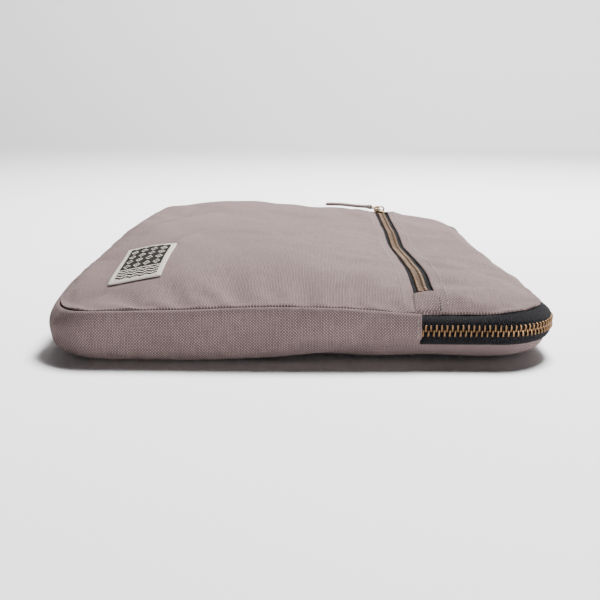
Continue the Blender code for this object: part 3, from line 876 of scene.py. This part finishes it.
steps = np.linspace(-1, 1, 84)
low, high = -HALF_X + 0.013, HALF_X - 0.004
columns = (low + high) / 2 + (high - low) / 2 * mix(steps, np.sin(steps * math.pi / 2), 0.9)
x = np.repeat(columns[:, None], 130, axis=1)
y = back_half_width(x) * even_rows(130, 0.9)[None, :]
points = np.stack([x, y, back_height(x, y)], axis=2)
back = grid_piece("back_canvas", points, surface_uv(points), canvas, flip=True)


seam_skirt(back, (), ((-0.0003, -0.0004), (0.0004, -0.0006), (0.0012, -0.0003)))
subdivide(back)
install(back, ROOT, "canvas", "back_panel")


# ------------------------------------------------------------------ zippers
def chain_level(x, y):
    """Height of the main zipper's chain."""
    return CHAIN_Z - mouth_sag(y) * smooth((np.asarray(x, float) - 0.100) / 0.018)


def back_tape_profile(x, y, nx):
    level = float(chain_level(x, y))
    low = (CHAIN_Z - level) / MOUTH_DROP
    return [
        (CHAIN_IN, level - 0.0004),
        (CHAIN_IN, level - 0.0018),
        (CHAIN_IN + 0.0001, level - mix(0.0036, 0.0030, low)),
        (0.0018, mix(0.0120, 0.0090, low)),
        (0.0030, mix(0.0104, 0.0084, low)),
        (0.0062, mix(0.0094, 0.0082, low)),
    ]


def front_tape_profile(x, y, nx):
    level = float(chain_level(x, y))
    top = float(seam_height(np.float64(x - (0.008 if nx > 0.5 else 0.0)), np.float64(y))) - 0.0011
    inset = float(mix(TAPE_SEAM_IN, HALF_X - MOUTH_X, smooth(np.float64(nx))))
    if x < 0.070:
        inset = HALF_Y - float(half_width(x))
    inset -= float(mouth_reach(np.float64(x), np.float64(y)))
    return [
        (inset + 0.0035, top - 0.0003),
        (inset, top - 0.0004),
        (mix(CHAIN_IN, inset, 0.45), mix(level + 0.0036, top, 0.55)),
        (CHAIN_IN + 0.0001, level + 0.0036),
        (CHAIN_IN, level + 0.0018),
        (CHAIN_IN, level + 0.0004),
    ]


def tape_piece(name, grid, uv, flip=False):
    piece = grid_piece(name, grid, uv, tape_cloth, flip)
    thicken(piece, TAPE_THICK)
    return piece


def mouth_tape(name, start_x, profile):
    route = end_route(1, start_x, 0.0025)
    grid = band_grid(route, profile, 14)
    return tape_piece(name, grid, band_uv(grid, route))


def tooth_shape():
    """One stamped tooth: s along the chain, r away from the chain's middle, d through its thickness."""
    outline = (
        (-0.00034, 0.0029, 0.00115), (-0.00052, 0.0027, 0.00130), (-0.00054, 0.0020, 0.00135),
        (-0.00046, 0.0011, 0.00130), (-0.00044, 0.0006, 0.00110), (-0.00060, 0.0003, 0.00095),
        (-0.00061, -0.0002, 0.00085), (-0.00044, -0.0006, 0.00075), (-0.00020, -0.0007, 0.00070),
    )
    ring = list(outline) + [(-s, r, d) for s, r, d in reversed(outline)]
    layers = ((-1.0, 0.50), (-0.72, 0.90), (0.0, 1.0), (0.72, 0.90), (1.0, 0.50))
    verts = []
    for share, shrink in layers:
        for s, r, d in ring:
            verts.append((s * shrink, 0.0012 + (r - 0.0012) * mix(shrink, 1.0, 0.6), d * share))
    return np.array(verts), ring_faces(len(layers), len(ring))


def place_teeth(name, frames, side, mat, seed):
    """A row of teeth, one in each frame; side +1 or -1 picks which way across they lie."""
    rng = np.random.default_rng(seed)
    base, faces = tooth_shape()
    verts, all_faces = [], []
    for centre, tangent, across, normal in zip(*frames):
        s = base[:, 0] + rng.normal(0, 0.02) * base[:, 1]
        r = base[:, 1] * side
        d = base[:, 2] + rng.normal(0, 0.00003)
        start = len(verts) * len(base)
        verts.append(centre + np.outer(s, tangent) + np.outer(r, across) + np.outer(d, normal))
        all_faces += [tuple(start + i for i in (f if side > 0 else f[::-1])) for f in faces]
    teeth = mesh_piece(name, np.concatenate(verts), all_faces, None, mat)
    subdivide(teeth)
    return teeth


def mouth_frames(offset):
    """Centre, tangent, across and normal every tooth pitch along the main zipper."""
    route = end_route(1, END_X - 0.004, 0.0008)
    at = lengths(route[:, :2])
    places = np.arange(0.0052 + offset, at[-1] - 0.0052, PITCH)
    inset = route[:, :2] - route[:, 2:] * CHAIN_IN
    x, y, nx, ny = [np.interp(places, at, run) for run in (*inset.T, *route[:, 2:].T)]
    size, zero = np.hypot(nx, ny), np.zeros_like(nx)
    centres = np.stack([x, y, chain_level(x, y)], axis=1)
    normals = np.stack([nx / size, ny / size, zero], axis=1)
    tangents = np.stack([-ny / size, nx / size, zero], axis=1)
    return centres, tangents, np.repeat([UP], len(x), axis=0), normals


def zip_level(y):
    """Height of the pocket zipper's tape along its length."""
    y = np.asarray(y, float)
    return front_height(np.full_like(y, ZIP_X), y) - 0.0018


def pocket_tape(name, side):
    y = np.linspace(-0.162, 0.162, 180)[:, None]
    across = np.linspace(0.0010, 0.0092, 7)[None, :]
    x = ZIP_X + side * across + 0 * y
    z = zip_level(y) - 0.0002 * smooth((across - 0.004) / 0.003)
    grid = np.stack([x, y + 0 * across, z], axis=2)
    return tape_piece(name, grid, grid[..., 1::-1], flip=side > 0)


def pocket_frames(offset):
    y = np.arange(-0.1600 + offset, 0.1600, PITCH)
    z = zip_level(y)
    zero = np.zeros_like(y)
    tangents = np.stack([zero, zero + 1, np.gradient(z, y)], axis=1)
    tangents /= np.linalg.norm(tangents, axis=1, keepdims=True)
    across = np.repeat([RIGHT], len(y), axis=0)
    return np.stack([zero + ZIP_X, y, z], axis=1), tangents, across, np.cross(across, tangents)


tape = mouth_tape("mouth_tape_back", END_X + 0.0002, back_tape_profile)
install(tape, ROOT, "tape", "main_zip_tape_back")
tape = mouth_tape("mouth_tape_front", END_X - 0.0030, front_tape_profile)
install(tape, None, "tape", "main_zip_tape_front", "main_zip_end_tape_near", "main_zip_end_tape_far")

teeth = place_teeth("mouth_teeth_back", mouth_frames(0.0), -1, brass, 5)
install(teeth, ROOT, "brass", "main_zip_teeth_back")
teeth = place_teeth("mouth_teeth_front", mouth_frames(PITCH / 2), 1, brass, 6)
install(teeth, None, "brass", "main_zip_teeth_front", "main_zip_end_teeth_near", "main_zip_end_teeth_far")

for side, level, body in ((-1, "lower", ROOT), (1, "upper", None)):
    tape = pocket_tape(f"pocket_tape_{level}", side)
    install(tape, body, "tape", f"pocket_zip_tape_{level}")

teeth = place_teeth("pocket_teeth_lower", pocket_frames(0.0), -1, dark_brass, 7)
install(teeth, ROOT, "brass", "pocket_zip_teeth_lower")
teeth = place_teeth("pocket_teeth_upper", pocket_frames(PITCH / 2), 1, dark_brass, 8)
install(teeth, ROOT, "brass", "pocket_zip_teeth_upper")


def end_tab(name, side):
    """Folded canvas tab over one end of the pocket zipper."""
    depth = 0.0112
    s = np.linspace(0, 1, 26)[:, None]
    t = np.linspace(0, 1, 22)[None, :]
    x = mix(ZIP_X - 0.0060, ZIP_X + 0.0066, s) + 0 * t
    y_seam = half_width(x)
    corner = 0.0030 * np.clip((s - 0.72) / 0.28, 0, 1) ** 2.2
    y = side * (y_seam - t * (depth - corner))
    swell = np.sin(s * math.pi) ** 0.35 * np.sin(t * math.pi / 2) ** 0.3
    z = front_height(x, side * (y_seam - t * depth)) + 0.0019 * swell - 0.0003
    points = np.stack([x, y, z], axis=2)
    fold = fold_rows(points[:, -1], -side * FAR, -UP, FOLD_R, 0.003)
    points = np.concatenate([points, fold.swapaxes(0, 1)], axis=1)
    skirts = []
    for edge, way in ((points[0], -RIGHT), (points[-1], RIGHT)):
        skirt = []
        for k in (1, 2, 3):
            a = k * math.pi / 6
            down = 0.0009 * (1 - math.cos(a)) + k * 0.0002
            skirt.append(edge + way * 0.0005 * math.sin(a) - UP * down)
        skirts.append(skirt)
    points = np.concatenate([skirts[0][::-1], points, skirts[1]])
    seam = points[:, 0]
    hem = [seam - side * 0.0012 * FAR - 0.0026 * UP]
    for a in (1.5, 1.0, 0.5):
        hem.append(seam + side * 0.0003 * math.sin(a) * FAR - 0.0018 * (1 - math.cos(a)) * UP)
    points = np.concatenate([np.stack(hem, axis=1), points], axis=1)
    piece = grid_piece(name, points, points[..., :2], canvas, flip=side > 0)
    subdivide(piece)
    return piece


for side, end in ENDS:
    tab = end_tab(f"pocket_tab_{end}", side)
    install(tab, ROOT, "canvas", f"pocket_zip_end_tab_{end}")


# ------------------------------------------------------------------ stitching
def surface_of(obj):
    """Ray target for the finished shape of a piece."""
    bpy.context.view_layer.update()
    shown = obj.evaluated_get(bpy.context.evaluated_depsgraph_get())
    mesh = shown.to_mesh()
    points = [v.co.copy() for v in mesh.vertices]
    faces = [tuple(f.vertices) for f in mesh.polygons]
    shown.to_mesh_clear()
    return BVHTree.FromPolygons(points, faces)


def drop(target, x, y):
    """Place and normal where a plumb line meets the cloth."""
    place, normal, _, _ = target.ray_cast(Vector((x, y, 0.12)), Vector((0, 0, -1)))
    return np.array(place), np.array(normal) * (1 if normal.z > 0 else -1)


def tube_mesh(path, radius, sides=8, closed=False, ends=0.55):
    """Vertices and faces of a round wire or thread along a path."""
    path = np.asarray(path, float)
    n = len(path)
    if closed:
        tangent = np.roll(path, -1, axis=0) - np.roll(path, 1, axis=0)
    else:
        tangent = np.gradient(path, axis=0)
    tangent /= np.linalg.norm(tangent, axis=1, keepdims=True)
    start = np.cross(tangent[0], (0.31, 0.52, 0.80))
    u = start / np.linalg.norm(start)
    verts = []
    for k in range(n):
        u = u - tangent[k] * np.dot(u, tangent[k])
        u /= np.linalg.norm(u)
        w = np.cross(tangent[k], u)
        r = radius * (ends if not closed and k in (0, n - 1) else 1.0)
        for i in range(sides):
            a = 2 * math.pi * i / sides
            verts.append(path[k] + r * (math.cos(a) * u + math.sin(a) * w))
    return verts, ring_faces(n, sides, closed)


def merge(meshes):
    verts, faces = [], []
    for more_verts, more_faces in meshes:
        start = len(verts)
        verts += [tuple(v) for v in more_verts]
        faces += [tuple(start + i for i in f) for f in more_faces]
    return verts, faces


def stitch_row(name, places, normals, mat, pitch=0.0030, share=0.72, radius=0.00024, seed=1):
    """A row of thread stitches over cloth, each rising from one hole and sinking into the next."""
    places, normals = np.asarray(places), np.asarray(normals)
    at = lengths(places)
    rng = np.random.default_rng(seed)
    made = []
    for k in range(int(at[-1] / pitch)):
        start = (k + 0.14) * pitch + rng.normal(0, 0.02) * pitch
        spots = start + np.linspace(0, share * pitch, 5)
        line = np.stack([np.interp(spots, at, places[:, i]) for i in range(3)], axis=1)
        up = np.stack([np.interp(spots, at, normals[:, i]) for i in range(3)], axis=1)
        rise = np.array([-1.6, 0.55, 0.8, 0.55, -1.6]) * radius
        made.append(tube_mesh(line + up * rise[:, None], radius * rng.uniform(0.92, 1.08), 6))
    return mesh_piece(name, *merge(made), None, mat)


for side, end in ENDS:
    y = side * (float(half_width(ZIP_X + 0.0066)) - np.linspace(0.0004, 0.0088, 30))
    x = np.full(30, ZIP_X + 0.0069)
    places = np.stack([x, y, front_height(x, y) + 0.0003], axis=1)
    normals = np.repeat([0.3 * RIGHT + 0.95 * UP], 30, axis=0)
    row = stitch_row(f"pocket_tab_stitch_{end}", places, normals, dark_thread, 0.0017, 0.66, 0.00030, 15)
    install(row, ROOT, "canvas")

for level, panel, x, body, seed in (
    ("lower", front_low, low_end - ROW_GAP, ROOT, 11),
    ("upper", front_high, high_start + ROW_GAP, None, 12),
):
    surface = surface_of(panel)
    spots = [drop(surface, x, y) for y in np.linspace(-0.1665, 0.1665, 420)]
    install(stitch_row(f"pocket_topstitch_{level}", *zip(*spots), thread, seed=seed), body, "canvas")

surface = surface_of(gusset)
for side, end in ENDS:
    places = []
    for z in np.linspace(0.0225, 0.0118, 30):
        place = surface.ray_cast(Vector((END_X - 0.0013, side * 0.2, z)), Vector((0, -side, 0)))[0]
        if place is not None:
            places.append(place)
    normals = np.repeat([side * FAR], len(places), axis=0)
    row = stitch_row(f"gusset_end_stitch_{end}", places, normals, thread, 0.0024, seed=13)
    install(row, ROOT, "canvas")


# ------------------------------------------------------------------ woven label
surface = surface_of(front_low)
xs, ys = np.linspace(*LABEL_X, 44), np.linspace(*LABEL_Y, 74)
last_i, last_j = len(xs) - 1, len(ys) - 1
points = np.zeros((len(xs), len(ys), 3))
for i, x in enumerate(xs):
    for j, y in enumerate(ys):
        bow = 0.0004 * math.sin(math.pi * i / last_i) - 0.0003 * math.sin(2 * math.pi * j / last_j)
        place, normal = drop(surface, x, y + bow)
        rim = min(i, last_i - i, j, last_j - j, 3)
        lift = 0.00042 + 0.00022 * rim / 3 + 0.00008 * math.sin(9.0 * i + 5.0 * j)
        points[i, j] = place + normal * lift
uv = np.stack(np.meshgrid(xs - xs[0], ys - ys[0], indexing="ij"), axis=2)
label = grid_piece("woven_label", points, uv, label_cloth)
thicken(label, 0.0006, -1.0)
install(label, ROOT, "label", "label")

surface = surface_of(label)
(x0, x1), (y0, y1) = [(low + 0.0011, high - 0.0011) for low, high in (LABEL_X, LABEL_Y)]
ring = np.array([(x0, y0), (x1, y0), (x1, y1), (x0, y1)])
spots = []
for start, end in zip(ring, np.roll(ring, -1, axis=0)):
    spots += [drop(surface, *mix(start, end, t)) for t in np.linspace(0, 1, 60)[:-1]]
install(stitch_row("label_stitch", *zip(*spots), label_thread, 0.0021, 0.74, 0.00016, 14), ROOT, "label")


# ------------------------------------------------------------------ sliders, rings and straps
def turned_plate(outline, low, high, edge):
    """A plate with softened edges: outline is a closed run of (x, y)."""
    outline = np.array(outline, float)
    away = outline - outline.mean(axis=0)
    size = np.linalg.norm(away, axis=1, keepdims=True)
    layers = []
    for z, draw in ((low, edge), (low + edge, 0.0), (high - edge, 0.0), (high, edge)):
        layers.append(np.column_stack([outline - away * (draw / size), np.full(len(outline), z)]))
    return np.concatenate(layers), ring_faces(len(layers), len(outline))


def shield(nose, tail, wide, narrow, count=40):
    """Slider outline: broad and square at the nose, drawn in towards the tail."""
    found = []
    for k in range(count):
        a = 2 * math.pi * k / count
        c, s = math.cos(a), math.sin(a)
        x = np.sign(c) * abs(c) ** 0.55
        y = np.sign(s) * abs(s) ** 0.55
        half = mix(narrow, wide, smooth((x + 1) / 2 + 0.15))
        found.append((x * (nose if x > 0 else tail), y * half * (1 - 0.10 * max(0.0, x - 0.75) * 4)))
    return found


def swept_bar(path, half_wide, half_thick, sides=12):
    """A strap of metal along a path in x and z, with rounded edges."""
    path = np.asarray(path, float)
    tangent = np.gradient(path, axis=0)
    tangent /= np.linalg.norm(tangent, axis=1, keepdims=True)
    verts = []
    for (x, z), (along_x, along_z) in zip(path, tangent):
        for i in range(sides):
            a = 2 * math.pi * (i + 0.5) / sides
            y = np.sign(math.cos(a)) * abs(math.cos(a)) ** 0.5 * half_wide
            h = np.sign(math.sin(a)) * abs(math.sin(a)) ** 0.5 * half_thick
            verts.append((x - along_z * h, y, z + along_x * h))
    return np.array(verts), [face[::-1] for face in ring_faces(len(path), sides)]


def in_frame(verts, origin, axes):
    return np.asarray(origin) + np.asarray(verts, float) @ np.asarray(axes, float)


BRIDGE_SIDE = ((0.0015, 0.0056), (0.0029, 0.00545), (0.0036, 0.0050), (0.00392, 0.0040), (0.0039, 0.0024))
BRIDGE = ([(-x, z) for x, z in BRIDGE_SIDE[::-1]] + [(0.0, 0.00562)] + list(BRIDGE_SIDE))


def slider_plates(turned):
    """Top plate, lips and bridge of a slider; a turned bridge lies across it and stands on two bosses."""
    parts = [turned_plate(shield(0.0060, 0.0060, 0.0043, 0.0037), 0.0016, 0.0028, 0.00035)]
    for side in (-1, 1):
        lip = [(-0.0056, 0.0027), (0.0056, 0.0032), (0.0058, 0.0040), (0.0, 0.0040), (-0.0056, 0.0037)]
        parts.append(turned_plate([(x, y * side) for x, y in lip][::side], 0.0006, 0.0018, 0.00012))
    verts, faces = swept_bar(BRIDGE, 0.0015, 0.0006)
    if not turned:
        return parts + [(verts, faces)]
    parts.append((verts[:, (1, 0, 2)] * (-1, 1, 1), faces))
    turns = np.linspace(0, 2 * math.pi, 20, endpoint=False)
    for spot in (-0.0043, 0.0043):
        boss = [(0.00091 * math.cos(a) + spot, 0.00117 * math.sin(a)) for a in turns]
        parts.append(turned_plate(boss, 0.0026, 0.0031, 0.0002))
    return parts


def ring_path(reach):
    """Closed run round a rounded rectangle, for the wire of a pull ring."""
    half, turn = 0.00515, 0.0016
    path = []
    for cx, cy, start in (
        (reach - turn, half - turn, 0),
        (turn, half - turn, 90),
        (turn, -half + turn, 180),
        (reach - turn, -half + turn, 270),
    ):
        for a in np.radians(start + np.linspace(0, 90, 7)):
            path.append((cx + turn * math.cos(a), cy + turn * math.sin(a), 0.0))
    path = np.array(path)
    dense = []
    for p, q in zip(path, np.roll(path, -1, axis=0)):
        count = max(1, int(np.linalg.norm(q - p) / 0.0006))
        dense += [p + (q - p) * i / count for i in range(count)]
    return np.array(dense)


def pull_strap(kind, pivot, axes, reach, sag, seed):
    """A canvas strap folded round the ring's bar and stitched; sag is how far its tip bends from straight."""
    tip = reach + STRAP_LONG

    def bend(s):
        share = np.clip((s - reach) / (tip - reach), 0, 1)
        return sag * share**1.2, 0.0002 * np.sin(share * 9.0 + seed)

    s = np.concatenate([[reach + 0.0016, reach + 0.0028], np.linspace(reach + 0.0045, tip, 26)])
    h = np.full(len(s), 0.00054)
    h[:2] = 0.00100, 0.00074
    turn = np.radians(np.linspace(-72, 72, 9))
    loop = np.column_stack([reach - 0.00112 * np.cos(turn), 0.00112 * np.sin(turn)])
    path = np.concatenate([np.column_stack([s, -h])[::-1], loop, np.column_stack([s, h])])
    sagged, wave = bend(path[:, 0])
    path[:, 1] += sagged + wave
    widths = np.linspace(-1, 1, 11)
    grid = np.zeros((len(path), len(widths), 3))
    for row, (a, b), lie in zip(grid, path, sagged):
        taper = 0.90 + 0.10 * np.clip((tip - a) / 0.0010, 0, 1)
        half = STRAP_HALF * taper * (1 + 0.012 * math.sin(a * 900.0 + seed))
        dome = math.copysign(0.00022, b - lie) if abs(a - reach) > 0.002 else 0.0
        row[:, 0] = a
        row[:, 1] = widths * half
        row[:, 2] = b - dome * np.abs(widths) ** 3
    uv = np.stack(np.meshgrid(lengths(path), widths * STRAP_HALF, indexing="ij"), axis=2)
    strap = grid_piece(f"{kind}_strap", in_frame(grid, pivot, axes), uv, strap_canvas)
    thicken(strap, 0.0009)
    soften(strap, 0.0002)
    install(strap, f"{kind}_pull", "canvas", f"{kind}_pull_strap")
    s = np.linspace(reach + 0.0040, tip - 0.0012, 60)
    normals = np.repeat([axes[2]], len(s), axis=0)
    for side, end in ((-1, "a"), (1, "b")):
        line = np.column_stack([s, np.full(len(s), side * 0.0030), 0.00100 + sum(bend(s))])
        places = in_frame(line, pivot, axes)
        row = stitch_row(f"{kind}_strap_stitch_{end}", places, normals, thread, 0.0021, 0.72, 0.00017, seed)
        install(row, f"{kind}_pull", "canvas")


def slider_set(kind, origin, along, out, turned, pull, reach, sag, seed):
    """One zipper's slider, ring and canvas pull. out points away from the bag, pull along the strap."""
    origin, pull = np.array(origin), np.array(pull)
    axes = (along, np.cross(out, along), out)
    wing = [turned_plate(shield(0.0052, 0.0052, 0.0032, 0.0029), -0.0028, -0.0017, 0.0003)]
    for name, node, parts, width in (
        (f"{kind}_slider_body", f"{kind}_slider", slider_plates(turned), 0.00012),
        (f"{kind}_slider_wing", f"{kind}_slider_inner_plate", wing, 0.0001),
    ):
        verts, faces = merge(parts)
        piece = mesh_piece(name, in_frame(verts, origin, axes), faces, None, slider_brass)
        soften(piece, width)
        install(piece, f"{kind}_slider", "brass", node)
    bar = np.cross(out, pull)
    axes = np.array([pull, bar, np.cross(pull, bar)])
    pivot = origin + out * SLIDER_CROWN
    verts, faces = tube_mesh(ring_path(reach), 0.0006, 12, True)
    ring = mesh_piece(f"{kind}_ring", in_frame(verts, pivot, axes), faces, None, slider_brass)
    install(ring, f"{kind}_pull", "brass", f"{kind}_pull_ring")
    pull_strap(kind, pivot, axes, reach, sag, seed)


tilt = math.radians(10)
pull = (-math.cos(tilt), 0.0, math.sin(tilt))
slider_set("pocket", (ZIP_X, 0.152, ZIP_Z), FAR, UP, True, pull, 0.0075, -0.0038, 2)
tilt = math.radians(14)
pull = (-math.cos(tilt), 0.0, -math.sin(tilt))
slider_set("main", (0.063, HALF_Y - CHAIN_IN, CHAIN_Z), RIGHT, FAR, False, pull, 0.0098, 0.0, 5)


# ------------------------------------------------------------------ linings and foam
def rounded_sheet(inset, span, corners, level, count, wave, seed):
    """Grid over a rounded rectangle inside the bag. span is (low, high) in x, corners their radii."""
    (low, high), wide = span, HALF_Y - inset
    nx, ny = count
    t = np.linspace(0, 1, nx)
    x = low + (high - low) * mix(t, (1 - np.cos(t * math.pi)) / 2, 0.6)
    half = np.full(nx, wide)
    for edge, r, sign in ((low, corners[0], 1), (high, corners[1], -1)):
        if r > 0:
            half = np.minimum(half, wide - r + half_chord(r, np.clip(r - sign * (x - edge), 0, r)))
    y = half[:, None] * even_rows(ny, 0.5)[None, :]
    x = np.repeat(x[:, None], ny, axis=1)
    return np.stack([x, y, level + wave * ripple(x, y, seed, 0.05)], axis=2)


def quilt(points, cell, depth):
    """Diamond quilting pressed into a sheet."""
    a = (points[..., 0] + points[..., 1]) / cell
    b = (points[..., 0] - points[..., 1]) / cell
    near_line = np.minimum(np.abs(a - np.round(a)), np.abs(b - np.round(b)))
    return depth * np.exp(-((near_line / 0.07) ** 2))


def lining_sheet(name, node, inset, span, corners, level, seed, facing, body=ROOT):
    """A quilted lining; facing is the side, +1 up or -1 down, that shows."""
    points = rounded_sheet(inset, span, corners, level, (70, 130), 0.00012, seed)
    points[..., 2] -= facing * quilt(points, 0.028, 0.00035)
    piece = grid_piece(name, points, points[..., :2], lining_cloth)
    thicken(piece, TAPE_THICK)
    install(piece, body, "lining", node)


def foam_pad(name, node, inset, span, corners, level, thick, seed, body=ROOT):
    """A foam sheet with rounded edges and slightly uneven faces."""
    flat = rounded_sheet(inset, span, corners, level, (56, 110), 0.0, seed)
    n, m = flat.shape[:2]
    i, j = np.meshgrid(np.arange(n), np.arange(m), indexing="ij")
    rim = np.minimum(np.minimum(i, n - 1 - i), np.minimum(j, m - 1 - j))
    swell = np.sqrt(pillow(rim, 2.0))
    uneven = 0.90 + 0.10 * ripple(flat[..., 0], flat[..., 1], seed, 0.04)
    half = np.clip(thick / 2 * uneven * swell, 0, thick / 2)[..., None]
    verts = np.concatenate([(flat + UP * half).reshape(-1, 3), (flat - UP * half).reshape(-1, 3)])
    faces = np.concatenate([grid_faces(n, m), grid_faces(n, m, True, n * m)])
    piece = mesh_piece(name, verts, faces, verts[:, :2], foam)
    edit_mesh(piece, weld)
    install(piece, body, "foam", node)


BACK_R, FRONT_R, FLAP_R = (0.014, 0.014), (0.024, 0.0), (0.0, 0.020)
FRONT_SPAN, FLAP_SPAN = (-0.118, 0.0695), (0.0705, 0.108)
FOAM_Z, FOAM_THICK, LINING_Z, POCKET_Z = 0.02075, 0.0029, 0.0187, 0.0229
foam_pad("back_foam_pad", "back_foam", 0.022, (-0.101, 0.105), BACK_R, 0.00295, 0.0025, 41)
lining_sheet(
    "back_lining_cloth", "back_lining", 0.013, (-0.113, 0.111), (0.022, 0.022), 0.0049,
    42, 1,
)
foam_pad("front_foam_pad", "front_foam", 0.007, FRONT_SPAN, FRONT_R, FOAM_Z, FOAM_THICK, 43)
lining_sheet(
    "front_lining_cloth", "front_lining", 0.0055, (-0.1195, 0.0695), (0.026, 0.0), LINING_Z,
    44, -1,
)
lining_sheet(
    "pocket_lining_cloth", "pocket_back_lining", 0.007, FRONT_SPAN, FRONT_R, POCKET_Z,
    45, 1,
)
foam_pad("flap_foam_pad", "flap_foam", 0.0085, FLAP_SPAN, FLAP_R, FOAM_Z, FOAM_THICK, 46, FLAP)
lining_sheet(
    "flap_lining_cloth", "flap_lining", 0.0085, FLAP_SPAN, FLAP_R, LINING_Z,
    47, -1, FLAP,
)


def gusset_lining_profile(x, y, nx):
    t = tuck(x)
    return [
        (0.0032, 0.0206),
        (0.0022, 0.0178),
        (0.0017, 0.0150),
        (mix(0.0024, 0.0026, t), mix(0.0100, 0.0132, t)),
        (mix(0.0050, 0.0047, t), mix(0.0064, 0.0112, t)),
    ]


route = end_route(-1, END_X - 0.002, 0.004)
grid = band_grid(route, gusset_lining_profile, 10)
piece = grid_piece("gusset_lining_cloth", grid, band_uv(grid, route), lining_cloth, flip=True)
thicken(piece, 0.0004)
install(piece, ROOT, "lining", "gusset_lining_near", "gusset_lining_far")


# ------------------------------------------------------------------ stage, light, camera
def backdrop():
    """Round floor that curves up into a pale wall on every side."""
    profile = [(0.6, 0.0), (1.4, 0.0), (FLOOR_R, 0.0)]
    for a in np.radians(np.linspace(7.5, 90, 12)):
        profile.append((FLOOR_R + COVE_R * math.sin(a), COVE_R * (1 - math.cos(a))))
    profile.append((FLOOR_R + COVE_R, WALL_Z))
    turns = np.linspace(0, 2 * math.pi, 97)
    points = np.array([[(r * math.cos(a), r * math.sin(a), z) for a in turns] for r, z in profile])
    g = Graph("pale_sweep")
    mottle = g.noise(g.object_place(), 2.0, 2.0)
    colour = g.ramp(mottle, (0.2, (0.88, 0.872, 0.88)), (0.8, (0.90, 0.892, 0.90)))
    pale = g.finish(colour, 0.65, None, Specular_IOR_Level=0.2)
    n, m = points.shape[:2]
    verts = np.concatenate([points.reshape(-1, 3), [[0.0, 0.0, 0.0]]])
    faces = [tuple(f) for f in grid_faces(n, m, True)]
    faces += [(j, j + 1, n * m) for j in range(m - 1)]
    sweep = mesh_piece("sweep", verts, faces, verts[:, :2], pale)
    edit_mesh(sweep, weld)
    edit_mesh(sweep, lambda work: bmesh.ops.recalc_face_normals(work, faces=work.faces))
    return sweep


floor = backdrop()
floor.location.z = -0.0002


def area_light(name, place, target, size, power, spread=180.0):
    data = bpy.data.lights.new(name, "AREA")
    data.spread = math.radians(spread)
    data.shape = "RECTANGLE"
    data.size, data.size_y = size
    data.energy = power
    obj = bpy.data.objects.new(name, data)
    bpy.context.scene.collection.objects.link(obj)
    obj.location = place
    obj.rotation_euler = (Vector(target) - Vector(place)).to_track_quat("-Z", "Y").to_euler()
    return obj


area_light("top_softbox", (0.42, 0.70, 1.5), (0, 0, 0), (0.55, 0.5), 58.0, 125.0)
front_fill = area_light("front_fill", (1.5, -1.3, 0.30), (0, 0, 0.02), (1.2, 0.5), 6.8, 60.0)
area_light("sweep_light", (0.6, 1.6, 2.2), (0.2, 3.0, 0.6), (2.5, 1.0), 130.0)
fill_group = bpy.data.collections.new("lit_by_fill")
for obj in bpy.context.scene.objects:
    if obj.type == "MESH" and obj != floor:
        fill_group.objects.link(obj)
front_fill.light_linking.receiver_collection = fill_group

world = bpy.data.worlds.new("studio")
world.use_nodes = True
world.node_tree.nodes["Background"].inputs[0].default_value = (1.0, 0.99, 1.0, 1)
world.node_tree.nodes["Background"].inputs[1].default_value = 0.01
bpy.context.scene.world = world

camera_data = bpy.data.cameras.new("view")
camera_data.sensor_width = 36.0
camera_data.lens = 50.1
camera_data.clip_start = 0.01
camera_data.clip_end = 20.0
camera = bpy.data.objects.new("view", camera_data)
bpy.context.scene.collection.objects.link(camera)
camera.location = (0.0079, -0.5533, 0.1191)
camera.rotation_euler = (math.radians(90 - 12.98), 0, math.radians(1.26))
bpy.context.scene.camera = camera
